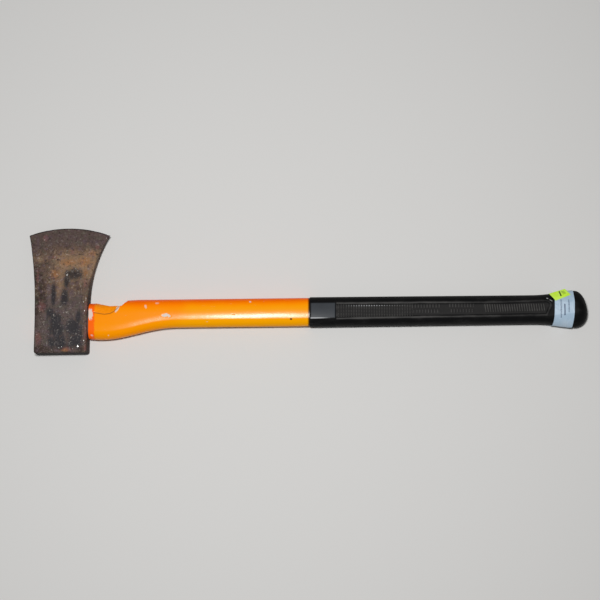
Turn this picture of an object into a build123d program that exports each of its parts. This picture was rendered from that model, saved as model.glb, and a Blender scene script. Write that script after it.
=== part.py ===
from build123d import *

"""Flat-head fire axe with a fibreglass handle, lying on its side.

+X runs along the handle from the head to the knob, +Y points to the cutting
edge and +Z is up. The origin is on the lower cheek of the head, straight under
the middle of the eye. Lengths are in millimetres, angles in degrees.

"Front" is the side of the handle under the cutting edge and "back" the side
under the poll. The head's "top" is its face away from the handle. A reach is
measured from the handle's centre line.
"""

import os
from math import cos, pi, radians, sqrt, tan

# Whole axe
OVERALL_LENGTH = 914.4  # top of the head to the end of the knob

# Head: one steel forging
HEAD_DEPTH = 86.5  # along the handle, at the poll
HEAD_THICKNESS = 40.0  # across the flat cheeks
POLL_REACH = 55.0  # middle of the eye to the poll face
BIT_REACH = 155.3  # middle of the eye to the crown of the cutting edge
BIT_CROWN = 12.0  # rise of the cutting edge between its corners
TOE_FLARE = 15.5  # how far the corner away from the handle stands out
TOE_FLARE_START = -5.5  # where that side turns out, from the eye's middle
HEEL_FLARE = 32.8  # how far the corner over the handle stands out
HEEL_FLARE_START = 24.5
TAPER_START = 20.0  # where the cheeks turn in, from the eye's middle
BLADE_THICKNESS = 3.2  # of the tapered cheeks, carried on to the crown
BEVEL_ANGLE = 14.0  # each ground face of the edge to the blade's middle plane
EDGE_THICKNESS = 0.8  # left by wear
POLL_CORNER = 4.0  # round of the corners between poll and sides
POLL_ROUND = 2.0  # worn round along the poll's rim on each cheek

# Eye through the head, wider at the head's top to lock the bond
EYE_LENGTH = 54.0  # front to back, on the handle's side
EYE_WIDTH = 24.0
EYE_CORNER = 11.0
EYE_SPREAD = 3.0  # added to length and width at the head's top

# Handle rod
ROD_OFFSET = 9.5  # how far it runs in front of the eye's middle
HANG_ANGLE = 0.66  # lean of the handle towards the bit
ROD_DEPTH = 24.0
ROD_THICKNESS = 16.0
ROD_CORNER = 7.5
ROD_COVER = 16.0  # rubber between the rod and the end of the knob

# Jacket over the rod
TONGUE_CLEARANCE = 2.0  # bond all round the jacket's tongue in the eye
JACKET_DEPTH = 47.4  # of its straight stretch
JACKET_THICKNESS = 29.0
JACKET_FACE_RADIUS = 80.0  # crown of its broad sides
SHOULDER_LENGTH = 152.0  # from the head to its straight stretch
SHOULDER_SWELL = 1.6  # added to its thickness at the belly
BELLY = 18.9  # how far the belly stands out behind the straight stretch
BELLY_FROM_DAM = 22.0  # its fullest point
BELLY_SHARPNESS = 1.2  # 1 is a plain wave, more is narrower
FRONT_RELIEF = 5.5  # how far the front is worn back beside the head
FRONT_RELIEF_LENGTH = 88.0

# Rubber ring that kept the bond in the eye while it set
DAM_INSERT = 5.0  # its depth inside the eye
DAM_FLANGE = 1.2  # its thickness between head and jacket
DAM_INSET = 1.0  # how far its rim lies inside the jacket's shoulder

# Grip
GRIP_LENGTH = 462.0
GRIP_DEPTH = 49.6  # at its front end
GRIP_THICKNESS = 33.4
GRIP_FACE_RADIUS = 110.0
GRIP_TAPER = 1.8  # how much of its depth is lost towards the knob
GRIP_LIP = 2.0  # round of its front end
COLLAR_LENGTH = 42.0  # smooth front end, lapped over the jacket
COLLAR_WALL = 3.2  # rubber outside the jacket's spigot
KNOB_DEPTH = 61.2
KNOB_THICKNESS = 40.0
KNOB_FACE_RADIUS = 90.0
KNOB_SWELL_LENGTH = 84.0  # from the end of the taper to the widest point
KNOB_SWELL_SHARPNESS = 1.9
KNOB_DOME = 23.4  # from the widest point to where its curve would close
KNOB_SLANT = 8.0  # how far the knob's tip lies behind the centre line
KNOB_TIP = 0.4  # length that the flat at its tip takes off the dome

# Sunk panel on each broad side of the grip, with slanted ribs near the knob
PANEL_SINK = 0.8
PANEL_MARGIN = 13.6  # from the panel to the grip's front and back, at the collar
PANEL_TAPER = 0.8  # how much each side of it draws in towards the knob
PANEL_POINT = 8.0  # length of its bevelled end
PANEL_FROM_END = 64.7  # its point to the end of the knob
RIB_COUNT = 25
RIB_PITCH = 4.03
RIB_WIDTH = 2.0
RIB_MARGIN = 3.3  # from the ribs' ends to the panel's sides
RIB_SLANT = 8.0
RIBS_FROM_POINT = 3.0

# Place on the front of the shoulder where blows have overshot
NOTCH_START = 12.0  # from the dam, along the handle
NOTCH_RAMP = 22.0
NOTCH_FLOOR = 20.0
NOTCH_WALL = 10.5
NOTCH_REACH = 13.0  # reach that is left at its floor
SPALL_OUTLINE = 33.0  # radius of the flake lost from the upper broad side
SPALL_HOLLOW = 60.0  # radius of its hollow
SPALL_FROM_DAM = 33.0
SPALL_REACH = 34.5

# Stickers
GLUE_LINE = 0.3  # under the label
STICKER_CLEARANCE = 0.5  # between the label and the sticker that laps over its edge
LABEL_WIDTH = 32.4
LABEL_FROM_END = 26.6
LABEL_THICKNESS = 0.25
LABEL_WRAP = 12.0  # how far it goes past the middle plane, front and back
STICKER_LENGTH = 28.4
STICKER_WIDTH = 15.0
STICKER_TURN = 20.0
STICKER_THICKNESS = 0.25
STICKER_FROM_END = 48.0
STICKER_REACH = 23.0

# Places that follow from the sizes above
MID_Z = HEAD_THICKNESS / 2
HEAD_TOP_X = -HEAD_DEPTH / 2
HEAD_UNDER_X = HEAD_DEPTH / 2
DAM_TOP_X = HEAD_UNDER_X - DAM_INSERT
SHOULDER_X = HEAD_UNDER_X + DAM_FLANGE
STRAIGHT_X = SHOULDER_X + SHOULDER_LENGTH
BELLY_X = SHOULDER_X + BELLY_FROM_DAM
END_X = HEAD_TOP_X + OVERALL_LENGTH
GRIP_X = END_X - GRIP_LENGTH
COLLAR_X = GRIP_X + COLLAR_LENGTH
WIDEST_X = END_X + KNOB_TIP - KNOB_DOME
SWELL_X = WIDEST_X - KNOB_SWELL_LENGTH
ROD_END_X = END_X - ROD_COVER
SPIGOT_DEPTH = GRIP_DEPTH - 2 * COLLAR_WALL
SPIGOT_THICKNESS = GRIP_THICKNESS - 2 * COLLAR_WALL
LABEL_TOP = GLUE_LINE + LABEL_THICKNESS
OVERCUT = 5.0  # how far a cutting shape runs past what it cuts
STATIONS = 10  # cross-sections along a curved stretch


def centre_y(x):
    """Y of the handle's centre line at x."""
    return ROD_OFFSET + x * tan(radians(HANG_ANGLE))


def wave(share):
    """Smooth fall from 1 to 0 as share goes from 0 to 1 or -1."""
    return (1 + cos(pi * max(-1.0, min(1.0, share)))) / 2


def stations(start, end):
    """Evenly spread places from start to end."""
    return [start + (end - start) * i / STATIONS for i in range(STATIONS + 1)]


def across_handle(x, y):
    """Plane across the handle at x, with its own x along +Y."""
    return Plane(origin=(x, y, MID_Z), x_dir=(0, 1, 0), z_dir=(1, 0, 0))


def rounded_oblong(x, y, depth, thickness, corner):
    """Rounded oblong across the handle."""
    return across_handle(x, y) * RectangleRounded(depth, thickness, corner)


def oval(x, front, back, thickness, face_radius):
    """Four-arc oval across the handle, with the given reaches and crowned faces."""
    half_depth = (front + back) / 2
    half = thickness / 2
    sag = face_radius - half
    end_radius = (face_radius**2 - sag**2 - half_depth**2) / (2 * (face_radius - half_depth))
    end_centre = half_depth - end_radius
    stretch = face_radius / (face_radius - end_radius)
    joint_y = end_centre * stretch
    joint_z = sag * (stretch - 1)
    edges = (
        ThreePointArc((-joint_y, joint_z), (0, half), (joint_y, joint_z))
        + ThreePointArc((joint_y, joint_z), (half_depth, 0), (joint_y, -joint_z))
        + ThreePointArc((joint_y, -joint_z), (0, -half), (-joint_y, -joint_z))
        + ThreePointArc((-joint_y, -joint_z), (-half_depth, 0), (-joint_y, joint_z))
    )
    return across_handle(x, centre_y(x) + (front - back) / 2) * make_face(edges)


def slab(x_low, x_high, z_low, z_high):
    """Box over the full width of the axe between two planes in X and in Z."""
    width = 2 * BIT_REACH
    size = (x_high - x_low, width, z_high - z_low)
    middle = ((x_low + x_high) / 2, centre_y(x_low), (z_low + z_high) / 2)
    return Pos(*middle) * Box(*size)


# --- head


def head_outline():
    """Side of the head, seen along Z."""
    corner_y = BIT_REACH - BIT_CROWN
    toe = (HEAD_TOP_X - TOE_FLARE, corner_y)
    heel = (HEAD_UNDER_X + HEEL_FLARE, corner_y)
    poll_toe = (HEAD_TOP_X, -POLL_REACH)
    poll_heel = (HEAD_UNDER_X, -POLL_REACH)
    turn_toe = (HEAD_TOP_X, TOE_FLARE_START)
    turn_heel = (HEAD_UNDER_X, HEEL_FLARE_START)
    crown = ((toe[0] + heel[0]) / 2, BIT_REACH)
    edges = (
        Line(poll_toe, poll_heel)
        + Line(poll_heel, turn_heel)
        + TangentArc(turn_heel, heel, tangent=(0, 1))
        + ThreePointArc(heel, crown, toe)
        + TangentArc(turn_toe, toe, tangent=(0, 1))
        + Line(turn_toe, poll_toe)
    )
    face = make_face(edges)
    return fillet(face.vertices().sort_by(Axis.Y)[:2], POLL_CORNER)


def cheek_wedge():
    """Flat cheeks that taper towards the bit, seen along X."""
    half = HEAD_THICKNESS / 2
    half_blade = BLADE_THICKNESS / 2
    poll_y = -POLL_REACH
    outline = Polyline(
        (poll_y, half),
        (TAPER_START, half),
        (BIT_REACH, half_blade),
        (BIT_REACH, -half_blade),
        (TAPER_START, -half),
        (poll_y, -half),
        close=True,
    )
    face = make_face(outline)
    poll_rim = face.vertices().sort_by(Axis.X)[:2]
    face = fillet(poll_rim, POLL_ROUND)
    return extrude(across_handle(0, 0) * face, amount=HEAD_DEPTH, both=True)


def ground_bevels():
    """Double cone whose rim is the cutting edge and whose flanks are its bevels."""
    half_chord = (HEAD_DEPTH + TOE_FLARE + HEEL_FLARE) / 2
    radius = (half_chord**2 + BIT_CROWN**2) / (2 * BIT_CROWN)
    rise = radius * tan(radians(BEVEL_ANGLE))
    half_edge = EDGE_THICKNESS / 2
    outline = Polyline(
        (0, half_edge + rise),
        (radius, half_edge),
        (radius, -half_edge),
        (0, -half_edge - rise),
        close=True,
    )
    cones = revolve(Plane.XZ * make_face(outline), Axis.Z)
    return Pos((HEEL_FLARE - TOE_FLARE) / 2, BIT_REACH - radius, MID_Z) * cones


def eye_taper(x_low, x_high, inset):
    """The eye's shape between two planes, made smaller all round by inset."""

    def at(x):
        spread = EYE_SPREAD * (HEAD_UNDER_X - x) / HEAD_DEPTH
        length = EYE_LENGTH + spread - 2 * inset
        width = EYE_WIDTH + spread - 2 * inset
        return rounded_oblong(x, 0, length, width, EYE_CORNER + spread / 2 - inset)

    return loft([at(x_low), at(x_high)])


def head():
    """Forged head with its eye."""
    blank = extrude(head_outline(), amount=HEAD_THICKNESS)
    eye = eye_taper(HEAD_TOP_X - OVERCUT, HEAD_UNDER_X + OVERCUT, 0)
    return (blank & cheek_wedge() & ground_bevels()) - eye


# --- handle


def rod():
    """Pultruded fibreglass rod, straight from the head's top into the knob."""
    ends = [
        rounded_oblong(x, centre_y(x), ROD_DEPTH, ROD_THICKNESS, ROD_CORNER)
        for x in (HEAD_TOP_X, ROD_END_X)
    ]
    return loft(ends, ruled=True)


def jacket_section(x):
    """Cross-section of the jacket outside the head."""
    belly = wave((x - BELLY_X) / (STRAIGHT_X - BELLY_X)) ** BELLY_SHARPNESS
    relief = wave((x - SHOULDER_X) / FRONT_RELIEF_LENGTH)
    front = JACKET_DEPTH / 2 - FRONT_RELIEF * relief
    back = JACKET_DEPTH / 2 + BELLY * belly
    thickness = JACKET_THICKNESS + SHOULDER_SWELL * belly
    return oval(x, front, back, thickness, JACKET_FACE_RADIUS)


def notch():
    """Prism that cuts the broken place in the front of the shoulder."""
    start = SHOULDER_X + NOTCH_START
    floor_start = start + NOTCH_RAMP
    floor_end = floor_start + NOTCH_FLOOR
    end = floor_end + NOTCH_WALL
    relief = FRONT_RELIEF * wave((start - SHOULDER_X) / FRONT_RELIEF_LENGTH)
    high = centre_y(end) + JACKET_DEPTH
    outline = Polyline(
        (start, high),
        (start, centre_y(start) + JACKET_DEPTH / 2 - relief),
        (floor_start, centre_y(floor_start) + NOTCH_REACH),
        (floor_end, centre_y(floor_end) + NOTCH_REACH),
        (end, centre_y(end) + JACKET_DEPTH / 2),
        (end, high),
        close=True,
    )
    return extrude(make_face(outline), amount=HEAD_THICKNESS)


def spall():
    """Ball that hollows the upper broad side beside the notch."""
    x = SHOULDER_X + SPALL_FROM_DAM
    top_z = MID_Z + (JACKET_THICKNESS + SHOULDER_SWELL) / 2
    lift = sqrt(SPALL_HOLLOW**2 - SPALL_OUTLINE**2)
    return Pos(x, centre_y(x) + SPALL_REACH, top_z + lift) * Sphere(SPALL_HOLLOW)


def spigot():
    """End of the jacket under the grip's collar."""
    reach = SPIGOT_DEPTH / 2
    ends = [
        oval(x, reach, reach, SPIGOT_THICKNESS, JACKET_FACE_RADIUS)
        for x in (GRIP_X, COLLAR_X)
    ]
    return loft(ends, ruled=True)


def tongue():
    """End of the jacket in the eye, with the bond's clearance all round."""
    return eye_taper(HEAD_TOP_X, HEAD_UNDER_X, TONGUE_CLEARANCE)


def jacket():
    """Moulded jacket from the head's top to the end of the grip's collar."""
    shoulder = loft([jacket_section(x) for x in stations(SHOULDER_X, STRAIGHT_X)])
    straight = loft([jacket_section(x) for x in (STRAIGHT_X, GRIP_X)], ruled=True)
    solid = tongue() + dam_hole() + shoulder + straight + spigot()
    return solid - notch() - spall() - rod()


# --- bond and dam


def dam_hole():
    """The jacket's tongue where it passes the dam's flange."""
    return eye_taper(HEAD_UNDER_X, SHOULDER_X, TONGUE_CLEARANCE)


def bond():
    """Epoxy between the eye and the jacket's tongue."""
    return eye_taper(HEAD_TOP_X, DAM_TOP_X, 0) - tongue()


def dam():
    """Rubber ring in the mouth of the eye, with a thin flange under the head."""
    ring = eye_taper(DAM_TOP_X, HEAD_UNDER_X, 0)
    rim = offset(jacket_section(HEAD_UNDER_X), -DAM_INSET)
    flange = extrude(rim, amount=DAM_FLANGE)
    return ring + flange - tongue() - dam_hole()


# --- grip


def grip_section(x, skin=0.0):
    """Cross-section of the grip's outside, thickened all round by skin."""
    if x <= WIDEST_X:
        swell = wave((x - WIDEST_X) / KNOB_SWELL_LENGTH) ** KNOB_SWELL_SHARPNESS
        slim = GRIP_DEPTH - GRIP_TAPER * min(1.0, (x - GRIP_X) / (SWELL_X - GRIP_X))
        depth = slim + (KNOB_DEPTH - slim) * swell
        thickness = GRIP_THICKNESS + (KNOB_THICKNESS - GRIP_THICKNESS) * swell
        radius = GRIP_FACE_RADIUS + (KNOB_FACE_RADIUS - GRIP_FACE_RADIUS) * swell
        reach = depth / 2 + skin
        return oval(x, reach, reach, thickness + 2 * skin, radius + skin)
    round_share = sqrt(1 - ((x - WIDEST_X) / KNOB_DOME) ** 2)
    half = KNOB_DEPTH / 2
    front = -KNOB_SLANT + (half + KNOB_SLANT) * round_share
    back = KNOB_SLANT + (half - KNOB_SLANT) * round_share
    return oval(x, front, back, KNOB_THICKNESS * round_share, KNOB_FACE_RADIUS * round_share)


def panel(side):
    """Sunk panel with its ribs on one broad side; side is 1 above and -1 below."""
    start = COLLAR_X
    point = END_X - PANEL_FROM_END
    square = point - PANEL_POINT
    half_start = GRIP_DEPTH / 2 - PANEL_MARGIN
    half_end = half_start - PANEL_TAPER
    outline = Polyline(
        (start, centre_y(start) - half_start),
        (start, centre_y(start) + half_start),
        (point, centre_y(point) + half_end),
        (square, centre_y(square) - half_end),
        close=True,
    )
    floor_z = MID_Z + side * (GRIP_THICKNESS / 2 - PANEL_SINK)
    recess = extrude(Pos(0, 0, floor_z) * make_face(outline), amount=side * OVERCUT)
    rib_length = 2 * (half_end - RIB_MARGIN)
    last_x = square - RIBS_FROM_POINT
    for i in range(RIB_COUNT):
        x = last_x - i * RIB_PITCH
        place = Pos(x, centre_y(x), floor_z) * Rot(0, 0, RIB_SLANT)
        recess -= place * Box(RIB_WIDTH, rib_length, 2 * PANEL_SINK)
    return recess


def grip():
    """Rubber grip with its knob, moulded over the rod and the jacket's spigot."""
    barrel = loft([grip_section(x) for x in (GRIP_X, SWELL_X)], ruled=True)
    front_rim = barrel.faces().sort_by(Axis.X)[0].edges()
    barrel = fillet(front_rim, GRIP_LIP)
    swell = loft([grip_section(x) for x in stations(SWELL_X, WIDEST_X)])
    dome = loft([grip_section(x) for x in stations(WIDEST_X, END_X)])
    solid = barrel + swell + dome
    return solid - panel(1) - panel(-1) - spigot() - rod()


# --- stickers


def wrap(inner_skin, outer_skin):
    """Thin shell over the swell of the knob, between two skins."""
    places = stations(SWELL_X, WIDEST_X)
    outer = loft([grip_section(x, outer_skin) for x in places])
    inner = loft([grip_section(x, inner_skin) for x in places])
    return outer - inner


def label():
    """Paper label, wrapped over the neck of the knob and left blank."""
    end = END_X - LABEL_FROM_END
    shell = wrap(GLUE_LINE, LABEL_TOP)
    return shell & slab(end - LABEL_WIDTH, end, MID_Z - LABEL_WRAP, 2 * HEAD_THICKNESS)


def sticker():
    """Small fluorescent sticker over the label's edge, left blank."""
    under = LABEL_TOP + STICKER_CLEARANCE
    shell = wrap(under, under + STICKER_THICKNESS)
    x = END_X - STICKER_FROM_END
    place = Pos(x, centre_y(x) + STICKER_REACH, 0) * Rot(0, 0, STICKER_TURN)
    cutter = place * Box(STICKER_LENGTH, STICKER_WIDTH, 4 * HEAD_THICKNESS)
    return (shell & cutter) & slab(GRIP_X, END_X, MID_Z, 2 * HEAD_THICKNESS)


PIECES = {
    "head": head,
    "handle_rod": rod,
    "handle_jacket": jacket,
    "eye_bond": bond,
    "eye_dam": dam,
    "grip": grip,
    "paper_label": label,
    "price_sticker": sticker,
}


def main():
    """Writes each piece to its own STEP file."""
    os.makedirs("parts", exist_ok=True)
    for name, make in PIECES.items():
        export_step(make(), f"parts/{name}.step")


if __name__ == "__main__":
    main()
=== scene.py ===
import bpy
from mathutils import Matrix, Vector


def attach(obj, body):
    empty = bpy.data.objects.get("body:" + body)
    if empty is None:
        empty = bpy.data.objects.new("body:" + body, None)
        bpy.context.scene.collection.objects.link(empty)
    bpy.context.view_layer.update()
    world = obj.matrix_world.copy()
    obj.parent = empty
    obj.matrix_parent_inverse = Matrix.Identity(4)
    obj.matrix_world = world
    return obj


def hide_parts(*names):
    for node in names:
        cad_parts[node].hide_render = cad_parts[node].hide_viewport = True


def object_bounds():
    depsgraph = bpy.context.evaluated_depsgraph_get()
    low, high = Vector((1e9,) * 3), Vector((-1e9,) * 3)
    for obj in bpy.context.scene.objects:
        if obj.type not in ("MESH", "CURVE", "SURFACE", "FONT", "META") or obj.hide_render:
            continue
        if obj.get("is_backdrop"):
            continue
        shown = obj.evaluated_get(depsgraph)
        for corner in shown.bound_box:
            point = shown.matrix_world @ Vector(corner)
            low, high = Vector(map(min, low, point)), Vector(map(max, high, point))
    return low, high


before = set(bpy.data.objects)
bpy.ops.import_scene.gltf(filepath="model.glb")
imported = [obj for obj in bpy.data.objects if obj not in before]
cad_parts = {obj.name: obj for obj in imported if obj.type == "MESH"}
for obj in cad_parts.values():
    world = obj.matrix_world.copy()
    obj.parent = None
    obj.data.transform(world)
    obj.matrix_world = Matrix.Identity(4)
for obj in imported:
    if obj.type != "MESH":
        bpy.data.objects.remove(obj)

"""A used flat-head fire axe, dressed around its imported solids.

Every shape is worked out in millimetres, in the frame of the solids: +X runs along the
handle to the knob, +Y to the cutting edge and +Z up from the surface it lies on. "Front"
is the +Y side of the handle and "back" its -Y side.
"""

import logging
import math
from dataclasses import dataclass
from enum import Enum
from typing import Any, Mapping, Sequence

import bmesh
import bpy
import numpy as np
from mathutils import Vector, noise

SOLIDS_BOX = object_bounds()
BODY = "root"
METRES = 0.001  # one millimetre
MERGE_WITHIN = 0.01  # points that are closer become one
PIT_REACH = 0.45  # radius of a pit, as a share of a field's size
LOG = logging.getLogger("fire_axe")

Array = np.ndarray
Colour = tuple[float, float, float]
Point = tuple[float, float]


# ---------------------------------------------------------------- fields on points


class Spread(Enum):
    """How a random field looks."""

    SMOOTH = "soft hills and hollows"
    PITS = "round pits with flat ground between them"


def random_field(points: Array, size: float, seed: float, spread: Spread = Spread.SMOOTH) -> Array:
    """Samples a random field that is the same on every run.

    Args:
        points: Places in millimetres, one a row.
        size: Breadth of its features.
        seed: Shifts the field, so that two fields differ.
        spread: The kind of feature.

    Returns:
        One value a point: -1 to 1 for smooth, 0 to 1 at the bottom of a pit.
    """
    shift = Vector((seed, 1.7 * seed, -seed))
    places = [Vector(p) / size + shift for p in points.reshape(-1, 3).tolist()]
    if spread is Spread.PITS:
        near = np.array([noise.voronoi(p)[0][0] for p in places])
        values = np.clip(1.0 - near / PIT_REACH, 0.0, 1.0)
    else:
        values = np.array([noise.noise(p) for p in places])
    return values.reshape(points.shape[:-1])


def ease(value: Array | float, start: float, end: float) -> Array:
    """Rises smoothly from 0 at start to 1 at end, which may be the lower one."""
    share = np.clip((np.asarray(value, float) - start) / (end - start), 0.0, 1.0)
    return share * share * (3.0 - 2.0 * share)


def hump(value: Array, middle: float, half_width: float) -> Array:
    """Is 1 at the middle and falls smoothly to 0 at half_width on both sides."""
    return 1.0 - ease(np.abs(value - middle), 0.0, half_width)


def arc_flare(y: Array | float, start: float, end: float, flare: float) -> Array:
    """Follows the arc that leaves a straight side and stands out by flare at end.

    Args:
        y: Heights along the side.
        start: Height where the arc leaves the side.
        end: Height of the arc's far end.
        flare: How far it stands out there.

    Returns:
        How far the side stands out at y.
    """
    rise = end - start
    radius = (flare**2 + rise**2) / (2.0 * flare)
    along = np.clip(np.asarray(y, float) - start, 0.0, rise)
    return radius - np.sqrt(radius**2 - along**2)


def distance_to_path(x: Array, y: Array, path: Sequence[Point]) -> Array:
    """Distance from each place to the nearest stretch of an open path.

    Args:
        x: Places along the handle.
        y: Places across it.
        path: The path's corners, in order.

    Returns:
        The distance at each place.
    """
    best = np.full(x.shape, np.inf)
    for (ax, ay), (bx, by) in zip(path[:-1], path[1:]):
        run_x, run_y = bx - ax, by - ay
        share = ((x - ax) * run_x + (y - ay) * run_y) / (run_x**2 + run_y**2)
        share = np.clip(share, 0.0, 1.0)
        best = np.minimum(best, np.hypot(x - ax - share * run_x, y - ay - share * run_y))
    return best


def depth_inside(x: Array, y: Array, corners: Sequence[Point]) -> Array:
    """Distance to the nearest side of a convex outline, positive inside it.

    Args:
        x: Places along the handle.
        y: Places across it.
        corners: The outline's corners, anticlockwise.

    Returns:
        The distance at each place.
    """
    depth = np.full(x.shape, np.inf)
    for (ax, ay), (bx, by) in zip(corners, [*corners[1:], corners[0]]):
        length = math.hypot(bx - ax, by - ay)
        depth = np.minimum(depth, ((bx - ax) * (y - ay) - (by - ay) * (x - ax)) / length)
    return depth


@dataclass(frozen=True)
class Mark:
    """An oval mark on a surface, seen from above."""

    x: float
    y: float
    length: float
    width: float
    turn: float = 0.0
    strength: float = 0.92  # how bare a chip is at its middle

    def depth(self, x: Array, y: Array) -> Array:
        """Is 1 in its middle, 0 on its rim and negative outside.

        Args:
            x: Places along the handle.
            y: Places across it.

        Returns:
            The depth at each place.
        """
        cos, sin = math.cos(math.radians(self.turn)), math.sin(math.radians(self.turn))
        along = ((x - self.x) * cos + (y - self.y) * sin) * 2.0 / self.length
        across = ((y - self.y) * cos - (x - self.x) * sin) * 2.0 / self.width
        return np.maximum(1.0 - np.hypot(along, across), -1.0)


def deepest(marks: Sequence[Mark], x: Array, y: Array) -> Array:
    """The greatest depth of several marks at each place."""
    return np.max([mark.depth(x, y) for mark in marks], axis=0)


# ---------------------------------------------------------------- meshes


@dataclass
class Skin:
    """A closed surface made of loops of points, one after the other."""

    rows: Array
    open_end: bool = False  # for a last loop that is folded flat on itself

    def close_start(self, rings: int) -> "Skin":
        """Closes the first loop with rings that shrink to a point.

        Args:
            rings: How many rings.

        Returns:
            The same skin.
        """
        rim = self.rows[0]
        middle = rim.mean(axis=0)
        smallest = 0.002  # the innermost ring keeps a little breadth
        shares = [max(i / rings, smallest) for i in range(rings)]
        caps = np.array([middle + (rim - middle) * share for share in shares])
        self.rows = np.concatenate((caps, self.rows))
        return self

    def build(self, name: str) -> bpy.types.Object:
        """Makes the object, closed and smooth.

        Args:
            name: The piece's name.

        Returns:
            The object, in metres.
        """
        count, around = self.rows.shape[:2]
        index = np.arange(count * around).reshape(count, around)
        ahead = np.roll(index, -1, axis=1)
        quads = np.stack((index[:-1], ahead[:-1], ahead[1:], index[1:]), axis=-1)
        faces = [*quads.reshape(-1, 4).tolist(), index[0][::-1].tolist()]
        if not self.open_end:
            faces.append(index[-1].tolist())
        return build_mesh(name, self.rows.reshape(-1, 3), faces)


def build_mesh(name: str, points: Array, faces: list[list[int]]) -> bpy.types.Object:
    """Makes an object from points in millimetres.

    Args:
        name: The piece's name.
        points: One point a row.
        faces: Indices of each face's corners.

    Returns:
        The object, linked to the scene.
    """
    mesh = bpy.data.meshes.new(name)
    mesh.from_pydata((points * METRES).tolist(), [], faces)
    work = bmesh.new()
    work.from_mesh(mesh)
    bmesh.ops.remove_doubles(work, verts=work.verts, dist=MERGE_WITHIN * METRES)
    bmesh.ops.recalc_face_normals(work, faces=work.faces)
    work.to_mesh(mesh)
    work.free()
    mesh.shade_smooth()
    piece = bpy.data.objects.new(name, mesh)
    bpy.context.scene.collection.objects.link(piece)
    return piece


def read_points(piece: bpy.types.Object, what: str = "co") -> Array:
    """Reads a mesh's points in millimetres, or its normals.

    Args:
        piece: The piece.
        what: Either "co" for points or "normal".

    Returns:
        One point or normal a row.
    """
    values = np.empty(len(piece.data.vertices) * 3, np.float32)
    piece.data.vertices.foreach_get(what, values)
    scale = 1.0 / METRES if what == "co" else 1.0
    return values.reshape(-1, 3).astype(float) * scale


def write_points(piece: bpy.types.Object, points: Array) -> None:
    """Moves a mesh's points to the given places in millimetres."""
    piece.data.vertices.foreach_set("co", (points * METRES).astype(np.float32).ravel())
    piece.data.update()


def write_mark(piece: bpy.types.Object, title: str, values: Array) -> None:
    """Stores a value a point under a title that a finish can read."""
    layer = piece.data.attributes.new(title, "FLOAT", "POINT")
    layer.data.foreach_set("value", np.asarray(values, np.float32).ravel())


def cut_away(piece: bpy.types.Object, cutter: bpy.types.Object) -> None:
    """Cuts one mesh out of another and deletes the cutter.

    Args:
        piece: What is cut.
        cutter: What cuts it.
    """
    step = piece.modifiers.new("cut", "BOOLEAN")
    step.operation = "DIFFERENCE"
    step.solver = "EXACT"
    step.object = cutter
    graph = bpy.context.evaluated_depsgraph_get()
    result = bpy.data.meshes.new_from_object(piece.evaluated_get(graph))
    piece.modifiers.clear()
    old = piece.data
    piece.data = result
    result.name = old.name
    bpy.data.meshes.remove(old)
    bpy.data.objects.remove(cutter)


# ---------------------------------------------------------------- shader nodes


def from_display(red: int, green: int, blue: int) -> Colour:
    """A colour as a screen shows it, 0 to 255, as linear light."""
    shares = [part / 255.0 for part in (red, green, blue)]
    return tuple(s / 12.92 if s <= 0.04045 else ((s + 0.055) / 1.055) ** 2.4 for s in shares)


@dataclass(frozen=True)
class Tint:
    """A colour that is laid over another one, never more strongly than its strength."""

    colour: Colour
    strength: float


class Value:
    """A number that varies over a surface, with arithmetic that adds Math nodes."""

    def __init__(self, kit: "Kit", socket: bpy.types.NodeSocket) -> None:
        self.kit = kit
        self.socket = socket

    def __add__(self, other: "Value | float") -> "Value":
        """Adds."""
        return self.kit.maths("ADD", self, other)

    def __sub__(self, other: "Value | float") -> "Value":
        """Subtracts."""
        return self.kit.maths("SUBTRACT", self, other)

    def __rsub__(self, other: float) -> "Value":
        """Subtracts this from a number."""
        return self.kit.maths("SUBTRACT", other, self)

    def __mul__(self, other: "Value | float") -> "Value":
        """Multiplies."""
        return self.kit.maths("MULTIPLY", self, other)

    __radd__ = __add__
    __rmul__ = __mul__

    def ease(self, start: float, end: float) -> "Value":
        """Rises smoothly from 0 at start to 1 at end, which may be the lower one.

        Args:
            start: Value where it leaves 0.
            end: Value where it reaches 1.

        Returns:
            The eased value.
        """
        node = self.kit.node(
            "ShaderNodeMapRange",
            {"interpolation_type": "SMOOTHSTEP"},
            {"Value": self, "From Min": min(start, end), "From Max": max(start, end)},
        )
        rise = Value(self.kit, node.outputs["Result"])
        return rise if start < end else 1.0 - rise

    def swing(self, strength: float) -> "Value":
        """Turns clouds of 0 to 1 into a swing of that strength about zero."""
        return (self - 0.5) * strength


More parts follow.
